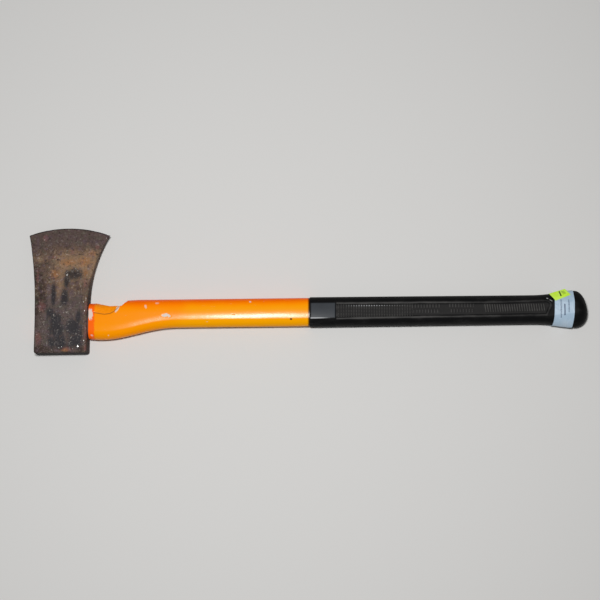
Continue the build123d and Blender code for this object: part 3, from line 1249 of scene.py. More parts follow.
    def paint(self, piece: bpy.types.Object, points: Array) -> None:
        """Stores where the rust changes colour.

        Args:
            piece: The head.
            points: Places in millimetres, one a row.
        """
        x, y, z = points.T
        level = np.abs(z - self.thickness / 2.0) / self.half_thickness(x, y)
        cheek = ease(level, 0.8, 0.97)
        on_cheek = cheek > 0.2
        scale = deepest(self.scale_patches, x, y)
        scale += self.grey_patch_scale * np.maximum(self.grey_patch.depth(x, y), 0.0)
        specks = deepest(self.bright_specks, x, y)
        specks = np.maximum(specks, self.dull_share * deepest(self.dull_specks, x, y))
        over_edge = ease(y, 40.0, 80.0) * ease(level, 0.1, 0.5) * (x > 0.0)
        grey = (1.0 - ease(y, 30.0, 62.0)) * (1.0 - 0.8 * ease(x, 30.0, 40.0))
        write_mark(piece, "scale", np.where(on_cheek, scale, -0.6))
        write_mark(piece, "orange", np.where(on_cheek, deepest(self.orange_spots, x, y), -1.0))
        write_mark(piece, "red", deepest(self.red_spots, x, y))
        write_mark(piece, "bright", np.where(on_cheek, specks, -1.0))
        write_mark(piece, "bit", 1.0 - ease(self.to_edge(x, y), 14.0, 46.0))
        write_mark(piece, "grey", grey)
        write_mark(piece, "tan", self.tan_field(x, y) * np.maximum(cheek, over_edge))
        write_mark(piece, "shade", self.shade_field(x, y))
        write_mark(piece, "rim", self.rim_and_shade_field(x, y, level))

    @staticmethod
    def tan_field(x: Array, y: Array) -> Array:
        """Tan rust: an arch across the blade, a middle stripe and a strip at the heel.

        Args:
            x: Places along the handle.
            y: Places towards the bit.

        Returns:
            How tan each place is.
        """
        arch = hump(y, 92.0, 46.0) * ease(x, -48.0, 14.0)
        tan = np.maximum(arch, 0.45 * hump(y, 101.0, 20.0))
        tan += 0.2 * ease(x, 33.0, 40.0) * (1.0 - ease(y, 30.0, 50.0))
        tan += 0.3 * hump(y, 48.0, 36.0) + 0.4 * hump(x, -3.0, 11.0) * hump(y, 48.0, 34.0)
        return tan

    def shade_field(self, x: Array, y: Array) -> Array:
        """Dark rust: along the toe, under the arch and at the poll.

        Args:
            x: Places along the handle.
            y: Places towards the bit.

        Returns:
            How dark each place is.
        """
        from_toe = x - self.sides(y)[0]
        shade = (1.0 - ease(from_toe, 4.0, 24.0)) * (1.0 - ease(y, 60.0, 100.0))
        shade *= 0.5 + 0.5 * ease(y, -4.0, 24.0)
        shade += 0.8 * (1.0 - ease(from_toe, 12.0, 34.0)) * hump(y, 42.0, 50.0)
        shade += 0.6 * hump(x, 27.0, 18.0) * hump(y, 50.0, 20.0)
        shade += 0.6 * (1.0 - ease(y, -50.0, -38.0))
        return shade

    def rim_and_shade_field(self, x: Array, y: Array, level: Array) -> Array:
        """Darkened rims, 0 to 1: both sides, the poll and the cutting edge. On the sides and the
        poll it is painted shade.

        Args:
            x: Places along the handle.
            y: Places towards the bit.
            level: Share of the half thickness, 1 on a cheek.

        Returns:
            How black each place is.
        """
        toe, heel = self.sides(y)
        low = 1.0 - ease(level, 0.55, 0.9)
        side = (1.0 - ease(heel - x, 0.4, 1.4)) * (0.15 + 0.45 * low)
        side *= 1.0 - 0.8 * ease(y, 30.0, 80.0)
        side += 0.8 * (1.0 - ease(x - toe, 0.6, 2.4))
        poll = (1.0 - ease(y + self.poll_reach, 0.4, 2.0)) * (0.4 + 0.6 * low)
        rim = side + poll + (1.0 - ease(self.to_edge(x, y), 0.8, 2.8))
        return np.clip(rim, 0.0, 1.0)


# ---------------------------------------------------------------- jacket


@dataclass
class Jacket:
    """The orange jacket: tongue in the eye, belly and shoulder, and the straight stretch."""

    head_top: float = -43.25
    start: float = 44.45  # beside the head
    end: float = 409.15  # at the grip
    lap: float = 20.0  # how far it goes on under the grip
    tongue_length: float = 50.0
    tongue_width: float = 20.0
    tongue_corner: float = 9.0
    rod_depth: float = 24.0
    rod_thickness: float = 16.0
    rod_corner: float = 7.5
    socket_depth: float = 6.0  # how deep the rod's hole is made at the head's top
    depth: float = 47.4
    thickness: float = 29.0
    face_radius: float = 105.0
    shoulder: float = 152.0  # where the shoulder has run out, past the head
    swell: float = 1.6  # how much thicker it is at the belly
    belly: float = 18.9
    belly_at: float = 22.0
    belly_sharpness: float = 1.2
    relief: float = 5.5  # how far the front stands back beside the head
    relief_length: float = 88.0
    notch_start: float = 12.0
    notch_ramp: float = 22.0
    notch_floor: float = 20.0
    notch_wall: float = 10.5
    notch_reach: float = 13.0
    notch_bend: Point = (0.6, 18.5)  # share of the wall, and the reach there
    notch_dip: float = 0.6  # how much less it reaches where the wall begins
    spall_slope: float = 0.34
    spall_step: float = 0.5  # down from the crack
    spall_rough: float = 0.45
    crack_half: float = 1.1
    crack_shade_half: float = 1.6
    crack_depth: float = 0.8
    chip_depth: float = 0.35
    tear_depth: float = 0.5
    wave_depth: float = 0.12
    around: int = 196
    fine_end: float = 118.0  # rows of points stand closer up to here
    fine_spacing: float = 0.65
    spacing: float = 1.25
    skin_step: float = 0.2  # past the start, where the outside begins
    face_level: float = 3.0  # over the middle plane, where the upper face begins
    crack: tuple[Point, ...] = (
        (54.0, 11.6),
        (62.0, 10.2),
        (71.0, 8.9),
        (80.0, 10.1),
        (86.5, 13.6),
        (91.0, 18.2),
        (94.4, 22.4),
    )
    crack_tail: tuple[Point, ...] = ((94.4, 22.4), (100.0, 26.0), (108.0, 33.5))
    fibre_tear: Mark = Mark(92.5, 18.5, 17.0, 5.0, 62.0, 0.82)
    chips: tuple[Mark, ...] = (
        Mark(48.0, 8.5, 9.5, 22.0, 4.0, 0.85),
        Mark(138.7, 22.0, 5.0, 8.0, 10.0, 0.55),
        Mark(157.0, 27.3, 8.0, 3.6, 0.0, 0.4),
        Mark(172.0, 7.0, 14.0, 6.5, 4.0),
        Mark(178.0, 5.6, 6.0, 4.5),
        Mark(51.0, -26.0, 5.0, 3.0, -30.0, 0.55),
        Mark(78.0, -26.0, 2.6, 2.6, 0.0, 0.5),
        Mark(311.0, 30.0, 3.8, 3.8, 0.0, 0.85),
        Mark(240.0, -3.5, 4.0, 1.2, 20.0),
        Mark(284.0, 8.5, 3.0, 1.5, -15.0),
    )
    stain: Mark = Mark(378.4, 1.0, 5.0, 4.0)

    def reaches(self, x: float) -> tuple[float, float, float]:
        """Front reach, back reach and thickness at x.

        Args:
            x: Place along the handle.

        Returns:
            The three sizes.
        """

        def wave(share: float) -> float:
            """Falls smoothly from 1 to 0 as share goes to 1 or -1."""
            return (1.0 + math.cos(math.pi * max(-1.0, min(1.0, share)))) / 2.0

        belly_x = self.start + self.belly_at
        fall = wave((x - belly_x) / (self.shoulder - self.belly_at)) ** self.belly_sharpness
        relief = self.relief * wave((x - self.start) / self.relief_length)
        half = self.depth / 2.0
        return half - relief, half + self.belly * fall, self.thickness + self.swell * fall

    def outer_loop(self, x: float) -> Array:
        """The outside at x: the straight stretch's section, with a flat let in for the belly.

        Args:
            x: Place along the handle.

        Returns:
            Points all round.
        """
        front, back, thickness = self.reaches(x)
        half = self.depth / 2.0
        section = oval(half, half, thickness, self.face_radius)
        behind = section[:, 0] < 0.0
        section[behind, 0] -= back - half
        section[~behind, 0] *= front / half
        return LINE.loop(x, even_loop(section, self.around))

    def skin(self) -> Skin:
        """Builds the closed surface, from inside the rod's hole to under the grip.

        Returns:
            The surface.
        """
        rod = even_loop(oblong(self.rod_depth, self.rod_thickness, self.rod_corner), self.around)
        tongue = oblong(self.tongue_length, self.tongue_width, self.tongue_corner)
        tongue = even_loop(tongue, self.around)
        rows = [
            LINE.loop(self.head_top + self.socket_depth, rod),
            LINE.loop(self.head_top, rod),
            LINE.loop(self.head_top, tongue, on_line=False),
            LINE.loop(self.start, tongue, on_line=False),
        ]
        rim = self.outer_loop(self.start)
        middle = rim.mean(axis=0)
        rows.append(middle + (rim - middle) * (1.0, 0.97, 0.95))
        places = steps_between(self.start + 0.5, self.fine_end, self.fine_spacing)
        places += steps_between(self.fine_end, self.end + self.lap, self.spacing)
        rows += [self.outer_loop(x) for x in places]
        return Skin(np.array(rows))

    def notch_line(self, x: Array) -> Array:
        """The furthest that the front is left at x.

        Args:
            x: Places along the handle.

        Returns:
            The line's place across, endless away from the notch.
        """
        start = self.start + self.notch_start
        floor = start + self.notch_ramp
        wall = floor + self.notch_floor
        end = wall + self.notch_wall
        lip = self.depth / 2.0
        bend, out = self.notch_bend
        reach = np.interp(
            x,
            (start, floor, wall, wall + bend * self.notch_wall, end),
            (lip - self.relief, self.notch_reach, self.notch_reach - self.notch_dip, out, lip),
        )
        inside = (x > start) & (x < end)
        return np.where(inside, LINE.y(x) + reach, np.inf)

    def break_shoulder(self, points: Array) -> tuple[Array, Array]:
        """Breaks the notch and the flake out of the shoulder.

        Args:
            points: The sound surface.

        Returns:
            The broken surface, and how broken each point is from 0 to 1.
        """
        moved = points.copy()
        x, y, z = moved.T
        rough = random_field(points, size=3.2, seed=4.4)
        rough = rough + 0.5 * random_field(points, size=1.3, seed=8.8)
        line_x, line_y = np.array(self.crack + self.crack_tail[1:]).T
        past = np.maximum(y - np.interp(x, line_x, line_y), 0.0)
        reach = ease(x, 50.0, 64.0) * ease(x, 107.5, 98.0) * (z > LINE.height)
        step = self.spall_step * ease(past, 0.0, 1.2)
        drop = reach * (self.spall_slope * past + step)
        drop += reach * ease(past, 0.5, 6.0) * self.spall_rough * rough
        outer = x > self.start + self.skin_step
        room = np.maximum(z - LINE.height - 1.0, 0.0)
        moved[:, 2] -= np.where(outer, np.clip(drop, 0.0, room), 0.0)
        floor = self.notch_line(x) + 0.5 * rough
        cut = np.where(outer, np.maximum(moved[:, 1] - floor, 0.0), 0.0)
        moved[:, 1] -= cut
        broken = np.maximum(ease(cut, 0.0, 0.8), reach * ease(past, 0.0, 2.5))
        return moved, broken

    def scar(self, points: Array, normals: Array) -> Array:
        """Sinks the crack and the chips into the surface.

        Args:
            points: Places in millimetres, one a row.
            normals: The surface's normals there.

        Returns:
            The sunk places.
        """
        x, y, z = points.T
        upper = z > LINE.height + self.face_level
        crack = 1.0 - distance_to_path(x, y, self.crack) / self.crack_half
        chip = ease(deepest(self.chips, x, y), 0.02, 0.3)
        tear = ease(self.fibre_tear.depth(x, y), 0.0, 0.3)
        depth = self.crack_depth * np.clip(crack, 0.0, 1.0)
        depth = np.where(upper, depth + self.chip_depth * chip + self.tear_depth * tear, 0.0)
        waves = self.wave_depth * (0.5 + 0.5 * random_field(points, size=30.0, seed=2.5))
        depth += waves * (x > self.start + self.skin_step)
        return points - normals * depth[:, None]

    def dress(self) -> bpy.types.Object:
        """Builds the jacket, breaks it and gives it its finish.

        Returns:
            The piece.
        """
        piece = self.skin().build("orange_jacket")
        sound = read_points(piece)
        points, broken = self.break_shoulder(sound)
        write_points(piece, points)
        points = self.scar(points, read_points(piece, "normal"))
        write_points(piece, points)
        self.paint(piece, sound, broken)
        piece.data.materials.append(OrangeJacket().material())
        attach(piece, BODY)
        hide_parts("handle_jacket")
        return piece

    def paint(self, piece: bpy.types.Object, points: Array, broken: Array) -> None:
        """Stores where the orange changes and what is bare.

        Args:
            piece: The jacket.
            points: Its places before it broke.
            broken: How broken each is.
        """
        x, y, z = points.T
        offset = y - LINE.y(x)
        samples = 200
        places = np.linspace(x.min(), x.max(), samples)
        back = np.interp(x, places, [self.reaches(place)[1] for place in places])
        across = np.where(offset > 0.0, offset * 2.0 / self.depth, offset / back)
        # across and the gold share place the jacket's painted light and shade
        write_mark(piece, "across", across)
        write_mark(piece, "painted_light_gold", 0.25 + 0.75 * ease(x, 130.0, 230.0))
        write_mark(piece, "band", 1.0 - ease(x, self.start + 5.0, self.start + 15.0))
        # painted shadow over the last few millimetres before the grip
        write_mark(piece, "painted_joint_shadow", ease(x, self.end - 3.2, self.end - 1.6))
        write_mark(piece, "broken", broken)
        upper = z > LINE.height + self.face_level
        marks = (*self.chips, self.fibre_tear)
        depths = np.array([mark.depth(x, y) for mark in marks])
        write_mark(piece, "chip", np.where(upper, depths.max(axis=0), -1.0))
        strengths = [mark.strength for mark in marks]
        write_mark(piece, "bare", np.take(strengths, depths.argmax(axis=0)))
        crack = 1.0 - distance_to_path(x, y, self.crack) / self.crack_shade_half
        write_mark(piece, "crack", np.where(upper, crack, -1.0))
        write_mark(piece, "stain", np.where(upper, self.stain.depth(x, y), -1.0))


# ---------------------------------------------------------------- grip


@dataclass
class Grip:
    """The rubber grip: smooth collar, sunk panels, and the knob."""

    start: float = 409.15
    end: float = 868.95
    collar: float = 42.0
    depth: float = 49.6
    thickness: float = 33.4
    taper: float = 1.8  # how much shallower it is before the knob's swell
    collar_flat_half: float = 12.4  # half the breadth of the collar's flat faces
    flat_half: float = 14.4  # and of those past it
    flat_taper: float = 1.0
    arris_turn: float = 22.0  # degrees that the surface turns at a flat's edge
    crown: float = 0.35  # of the broad faces
    lip: float = 1.6  # radius of the collar's rim
    knob_depth: float = 61.2
    knob_thickness: float = 40.0
    knob_flat_half: float = 9.0
    swell_length: float = 84.0
    swell_sharpness: float = 1.9
    dome: float = 21.2  # from the widest place to the knob's end
    tip: float = 0.4
    slant: float = 8.0  # how far back the knob's end stands
    panel_sink: float = 0.8
    panel_half: float = 10.4  # at its end
    panel_front: tuple[Point, ...] = (
        (451.0, 10.0),
        (600.0, 9.7),
        (690.0, 8.9),
        (735.0, 9.0),
        (772.0, 10.1),
    )
    panel_back: tuple[Point, ...] = (
        (451.0, 12.6),
        (510.0, 11.9),
        (600.0, 11.3),
        (690.0, 11.1),
        (722.0, 10.7),
    )
    panel_point: float = 8.0
    panel_from_end: float = 62.5
    nose: tuple[Point, ...] = ((-1.6, 3.6), (-1.7, 7.2), (-4.6, 9.6))  # from its front corner
    pattern_shift: float = 0.7  # to the front
    frame_out: float = 1.4  # from the panel's side to the middle of the line round it
    frame_half: float = 3.4
    frame_height: float = 0.45
    seam_depth: float = 0.6  # between the collar and the panel
    seam_shift: float = 0.8  # past the collar's end
    arris_line: tuple[Point, ...] = (  # from the panel's end
        (-7.0, 17.2),
        (-4.0, 16.4),
        (0.0, 13.8),
        (3.6, 10.6),
        (5.4, 6.0),
    )
    arris_height: float = 0.6
    knurl_length: float = 126.0
    knurl_pitch: tuple[float, float] = (4.2, 2.45)
    knurl_shift: float = 0.6  # to the back
    knurl_height: float = 0.6
    bright_row: Point = (506.0, 6.8)  # where the painted highlight on the knurl is brightest
    lump_height: float = 0.1
    glints: tuple[Mark, ...] = (
        Mark(801.0, 16.4, 5.0, 2.4, -20.0),
        Mark(806.5, 12.8, 9.0, 1.5, -32.0),
    )
    bar_width: float = 2.6
    bar_pitch: float = 4.9
    bar_half: float = 2.9
    bar_rows: tuple[float, float] = (5.3, -3.3)
    bar_blocks: tuple[Point, ...] = ((577.0, 624.0), (639.0, 679.0))
    bar_height: float = 0.36
    rib_count: int = 25
    rib_pitch: float = 4.03
    rib_front: float = 7.0
    rib_back: tuple[float, float] = (6.3, 5.1)  # at the first rib and at the last
    rib_slant: float = 8.0
    ribs_from_point: float = 3.0
    rib_height: float = 0.8
    around_flat: int = 76
    around_side: int = 22
    collar_spacing: float = 1.6  # between rows of points
    knurl_spacing: float = 0.55
    bar_spacing: float = 0.8
    rib_spacing: float = 0.5
    knob_spacing: float = 1.2
    rim_rings: tuple[Point, Point] = ((1.5, 8.0), (0.0, 6.0))  # places and insets
    lip_rows: int = 5
    dome_rows: int = 26
    face_levels: Point = (11.0, 13.5)  # from the middle plane, where the face takes over

    @property
    def widest(self) -> float:
        """Where the knob is widest."""
        return self.end + self.tip - self.dome

    @property
    def seam(self) -> float:
        """Where the seam between the collar and the panel is."""
        return self.start + self.collar + self.seam_shift

    @property
    def panel_end(self) -> float:
        """Where the panel's front side ends."""
        return self.end - self.panel_from_end

    def reaches(self, x: float) -> tuple[float, float, float, float]:
        """Front reach, back reach, thickness and half breadth of the flat at x.

        Args:
            x: Place along the handle.

        Returns:
            The four sizes.
        """
        if x > self.widest:
            share = math.sqrt(max(1.0 - ((x - self.widest) / self.dome) ** 2, 0.0))
            half = self.knob_depth / 2.0
            front = -self.slant + (half + self.slant) * share
            back = self.slant + (half - self.slant) * share
            return front, back, self.knob_thickness * share, self.knob_flat_half * share
        share = abs(x - self.widest) / self.swell_length
        swell = ((1.0 + math.cos(math.pi * min(share, 1.0))) / 2.0) ** self.swell_sharpness
        straight = self.widest - self.swell_length - self.start
        slim = self.depth - self.taper * min(1.0, (x - self.start) / straight)
        reach = (slim + (self.knob_depth - slim) * swell) / 2.0
        thickness = self.thickness + (self.knob_thickness - self.thickness) * swell
        past = float(ease(x, self.start + self.collar - 1.0, self.start + self.collar + 1.0))
        flat = self.collar_flat_half + (self.flat_half - self.collar_flat_half) * past
        flat -= self.flat_taper * min(1.0, (x - self.start) / straight)
        return reach, reach, thickness, flat + (self.knob_flat_half - flat) * swell

    @staticmethod
    def side_limit(breadth: float, slope: float) -> float:
        """Angle where an elliptical side of that breadth to height falls at a slope.

        Args:
            breadth: The side's breadth over its height.
            slope: The slope.

        Returns:
            The angle in radians.
        """
        low, high = 0.3, math.pi / 2.0
        for _ in range(40):
            middle = (low + high) / 2.0
            fall = (1.0 - math.cos(middle)) / math.tan(middle) ** 2 / math.cos(middle) / breadth
            low, high = (middle, high) if fall > slope else (low, middle)
        return (low + high) / 2.0

    def section(self, x: float, inset: float = 0.0) -> Array:
        """Section at x, denser on the flats, made smaller all round by inset.

        Args:
            x: Place along the handle.
            inset: How far it is drawn in.

        Returns:
            Points all round, as offset to the front and height.
        """
        front, back, thickness, flat = self.reaches(x)
        half_depth = (front + back) / 2.0 - inset
        half = thickness / 2.0 - inset
        flat = min(flat, half_depth - 0.5)
        crown = self.crown * half / (self.thickness / 2.0)
        slope = math.tan(math.radians(self.arris_turn))
        limit = self.side_limit((half_depth - flat) / (half - crown), slope)
        turn = np.linspace(0.0, limit, self.around_side, endpoint=False)
        wide = (half_depth - flat) / (1.0 - math.cos(limit))
        side_x = half_depth - wide * (1.0 - np.cos(turn))
        side_z = (half - crown) * np.sin(turn) / math.sin(limit)
        across = np.linspace(flat, 0.0, self.around_flat // 2, endpoint=False)
        face_z = half - crown * (across / flat) ** 2
        quarter = np.vstack((np.column_stack((side_x, side_z)), np.column_stack((across, face_z))))
        return mirrored(quarter, (0.0, half)) + ((front - back) / 2.0, 0.0)

    def loop(self, x: float, inset: float = 0.0) -> Array:
        """The outside at x."""
        return LINE.loop(x, self.section(x, inset))

    def skin(self) -> Skin:
        """Builds the closed surface, from the collar's rim to the knob's end.

        Returns:
            The surface.
        """
        knurl_end = self.start + self.collar + self.knurl_length
        ribs_start = self.panel_end - self.panel_point - self.rib_count * self.rib_pitch - 6.0
        turns = np.linspace(0.0, math.pi / 2.0, self.lip_rows, endpoint=False)
        rows = [self.loop(self.start + along, inset) for along, inset in self.rim_rings]
        for turn in turns:
            ahead, inset = self.lip * (1.0 - math.cos(turn)), self.lip * (1.0 - math.sin(turn))
            rows.append(self.loop(self.start + ahead, inset))
        stretches = (
            (self.start + self.lip, self.collar_spacing),
            (self.start + self.collar - 3.0, self.knurl_spacing),
            (knurl_end + 2.0, self.bar_spacing),
            (ribs_start, self.rib_spacing),
            (self.panel_end + 10.0, self.knob_spacing),
            (self.widest, 0.0),
        )
        places = []
        for (begin, spacing), (finish, _) in zip(stretches[:-1], stretches[1:]):
            places += steps_between(begin, finish, spacing)
        rows += [self.loop(x) for x in places]
        angles = np.linspace(0.0, math.pi / 2.0, self.dome_rows)
        rows += [self.loop(self.widest + (self.end - self.widest) * math.sin(a)) for a in angles]
        return Skin(np.array(rows))

    def pattern_offset(self, x: Array, y: Array) -> Array:
        """Offsets to the front from the middle of the pattern."""
        return y - LINE.y(x) - self.pattern_shift

    def on_face(self, z: Array) -> Array:
        """Is 1 on the broad faces and 0 round the sides."""
        return ease(np.abs(z - LINE.height), *self.face_levels)

    def inside(self, x: Array, across: Array) -> Array:
        """Distance to the panel's nearest side, positive inside it.

        Args:
            x: Places along the handle.
            across: Offsets to the front.

        Returns:
            The distance at each place.
        """
        start, square = self.start + self.collar, self.panel_end - self.panel_point
        half, spare = self.panel_half, 4.0
        wide = half + spare
        nose = [(self.panel_end + along, reach) for along, reach in self.nose]
        corners = [(start, -wide), (square, -half), *nose, (square, half), (start, wide)]
        depth = depth_inside(x, across, corners)
        front = np.interp(x, *np.array([*self.panel_front, (square, half)]).T)
        back = np.interp(x, *np.array([*self.panel_back, (square, half)]).T)
        return np.minimum(depth, np.minimum(front - across, back + across))

    def frame(self, x: Array, across: Array, inside: Array) -> Array:
        """The raised line round the panel, from 0 to 1.

        Args:
            x: Places along the handle.
            across: Offsets to the front.
            inside: Distances inside the panel's sides.

        Returns:
            Its height at each place.
        """
        seam = self.seam
        line = hump(inside, -self.frame_out, self.frame_half)
        line = np.maximum(line, hump(x, seam + 2.0, 1.5) * (np.abs(across) < 11.0))
        return line * ease(x, seam + 0.6, seam + 1.3)

    def arris(self, x: Array, across: Array) -> Array:
        """The slanting edge between the panel's end and the knob, from 0 to 1."""
        path = [(self.panel_end + along, reach) for along, reach in self.arris_line]
        return hump(distance_to_path(x, across, path), 0.0, 1.4)

    def pattern(self, x: Array, across: Array, inside: Array) -> Array:
        """Height of the knurl, the bars and the ribs over the panel."""
        inner = ease(inside, 0.3, 0.9)
        return (self.knurl(x, across) + self.bars(x, across)) * inner + self.ribs(x, across)

    def relief(self, x: Array, across: Array) -> Array:
        """Height of the panel's pattern over the smooth face.

        Args:
            x: Places along the handle.
            across: Offsets to the front.

        Returns:
            Height at each place, negative where the panel is sunk.
        """
        inside = self.inside(x, across)
        height = self.frame_height * self.frame(x, across, inside)
        height += self.arris_height * self.arris(x, across)
        height -= self.panel_sink * ease(inside, 0.0, 0.9)
        seam = hump(x, self.seam - 0.3, 1.1) * (np.abs(across) < self.flat_half)
        height -= self.seam_depth * seam
        return height + self.pattern(x, across, inside)

    def knurl(self, x: Array, across: Array) -> Array:
        """Rows of small raised dots after the collar.

        Args:
            x: Places along the handle.
            across: Offsets to the front.

        Returns:
            Their height at each place.
        """
        start = self.start + self.collar + 1.5
        along, side = self.knurl_pitch
        turn = math.pi * (across + self.knurl_shift) / side
        dots = np.cos(math.pi * (x - start) / along) ** 2 * np.cos(turn) ** 2
        zone = ease(x, start, start + 1.5) * (x < start + self.knurl_length)
        return self.knurl_height * ease(dots, 0.1, 0.8) * zone

    def bars(self, x: Array, across: Array) -> Array:
        """Two rows of plain upright bars between the knurl and the ribs.

        Args:
            x: Places along the handle.
            across: Offsets to the front.

        Returns:
            Their height at each place.
        """
        total = np.zeros(x.shape)
        for start, end in self.bar_blocks:
            for row, offset in enumerate(self.bar_rows):
                shift = (x - start + row * self.bar_pitch / 2.0) % self.bar_pitch
                bar = ease(shift, 0.0, 0.7) * ease(shift, self.bar_width, self.bar_width - 0.7)
                bar = bar * (x > start) * (x < end)
                reach = np.abs(across - offset)
                total += bar * ease(reach, self.bar_half + 0.4, self.bar_half - 0.3)
        return self.bar_height * total

    def ribs(self, x: Array, across: Array) -> Array:
        """Slanted ribs near the knob.

        Args:
            x: Places along the handle.
            across: Offsets to the front.

        Returns:
            Their height at each place.
        """
        last = self.panel_end - self.panel_point - self.ribs_from_point
        leaned = x + across * math.tan(math.radians(self.rib_slant))
        phase = (last - leaned) / self.rib_pitch
        number = np.round(phase)
        wanted = (number >= 0) & (number < self.rib_count)
        ridge = hump((phase - number) * self.rib_pitch, 0.0, 1.5)
        back = np.interp(x, (last - self.rib_count * self.rib_pitch, last), self.rib_back)
        ends = ease(across, self.rib_front + 0.8, self.rib_front - 0.6)
        ends = ends * ease(-across, back + 0.8, back - 0.6)
        return self.rib_height * ridge * ends * wanted

    def shape(self, points: Array) -> Array:
        """Raises and sinks the pattern on both broad faces.

        Args:
            points: The smooth surface, one place a row.

        Returns:
            The patterned surface.
        """
        moved = points.copy()
        x, y, z = points.T
        on_face = self.on_face(z) * (x < self.panel_end + 10.0)
        height = self.relief(x, self.pattern_offset(x, y)) * on_face
        lumps = self.lump_height * random_field(points, size=24.0, seed=5.5) - self.lump_height
        moved[:, 2] += np.sign(z - LINE.height) * (height + lumps * on_face)
        return moved

    def dress(self) -> bpy.types.Object:
        """Builds the grip and gives it its finish.

        Returns:
            The piece.
        """
        piece = self.skin().build("rubber_grip")
        smooth = read_points(piece)
        write_points(piece, self.shape(smooth))
        self.paint(piece, smooth)
        piece.data.materials.append(BlackRubber().material())
        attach(piece, BODY)
        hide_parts("grip")
        return piece

    def paint(self, piece: bpy.types.Object, points: Array) -> None:
        """Stores where the rubber is dusty and worn pale, where highlights and a grey sheen are
        painted on it, and where it is glossy.

        Args:
            piece: The grip.
            points: Its places while smooth.
        """
        x, y, z = points.T
        across, offset = self.pattern_offset(x, y), y - LINE.y(x)
        inside = self.inside(x, across)
        on_face = self.on_face(z)
        write_mark(piece, "dusty", ease(inside, 0.5, 3.6) * on_face)
        # raised crests, the frame line and the arris turn paler: partly wear, partly a painted
        # highlight on their crests
        faded = 1.0 - 0.25 * ease(x, 600.0, 760.0)
        frame_line, arris = self.frame(x, across, inside), self.arris(x, across)
        lines = faded * np.maximum(0.74 * frame_line, 0.5 * arris)
        raised = ease(self.pattern(x, across, inside), 0.15, 0.5)
        write_mark(piece, "rubbed_and_highlit", np.maximum(raised, lines) * faded * on_face)
        # painted highlights, stored as worn: the bright knurl row, the glints by the knob and a
        # line on the collar's lower edge
        bright = ease(self.knurl(x, across), 0.25, 0.5) * hump(across, self.bright_row[1], 3.4)
        along = x - self.bright_row[0]
        bright *= np.maximum(hump(along, 0.0, 62.0), 0.5 * hump(along, 10.0, 115.0))
        glint = 1.2 * np.maximum(deepest(self.glints, x, offset), 0.0)
        start, seam = self.start, self.seam
        edge = hump(offset, -11.8, 1.5) * (1.0 - ease(x, start + 6.0, start + 46.0))
        worn = np.maximum(np.maximum(bright, glint), 1.1 * edge * (x > start + 1.5))
        write_mark(piece, "worn", worn * on_face)
        # the collar is glossy, and its flats carry a painted grey sheen
        collar_polish_and_sheen = ease(x, start + 1.2, start + 2.8) * ease(x, seam, seam - 1.6)
        write_mark(piece, "collar_polish_and_sheen", collar_polish_and_sheen)
        flat = ease(np.abs(across), self.collar_flat_half + 1.0, 11.0)
        write_mark(piece, "flat", flat * on_face)


# ---------------------------------------------------------------- stickers


def upward(grid: Array) -> Array:
    """Normals of a grid of points, on the side that looks up.

    Args:
        grid: Rows of points.

    Returns:
        One normal a point.
    """
    out = np.cross(np.gradient(grid, axis=0), np.gradient(grid, axis=1))
    out /= np.linalg.norm(out, axis=-1, keepdims=True)
    return out * np.sign(out[..., 2:].mean())


def build_sheet(name: str, grid: Array, thickness: float) -> bpy.types.Object:
    """Makes a thin closed sheet under a grid of points.

    Args:
        name: The piece's name.
        grid: Rows of points on its upper face.
        thickness: How far its lower face lies under them.

    Returns:
        The object.
    """
    rows, columns = grid.shape[:2]
    upper = np.arange(rows * columns).reshape(rows, columns)
    lower = upper + rows * columns
    faces = []
    for sheet in (upper, lower):
        quads = np.stack((sheet[:-1, :-1], sheet[1:, :-1], sheet[1:, 1:], sheet[:-1, 1:]), -1)
        faces += quads.reshape(-1, 4).tolist()
    for side in (np.s_[0, :], np.s_[-1, :], np.s_[:, 0], np.s_[:, -1]):
        top, under = upper[side], lower[side]
        faces += np.stack((top[:-1], top[1:], under[1:], under[:-1]), -1).tolist()
    points = np.concatenate((grid, grid - upward(grid) * thickness)).reshape(-1, 3)
    return build_mesh(name, points, faces)


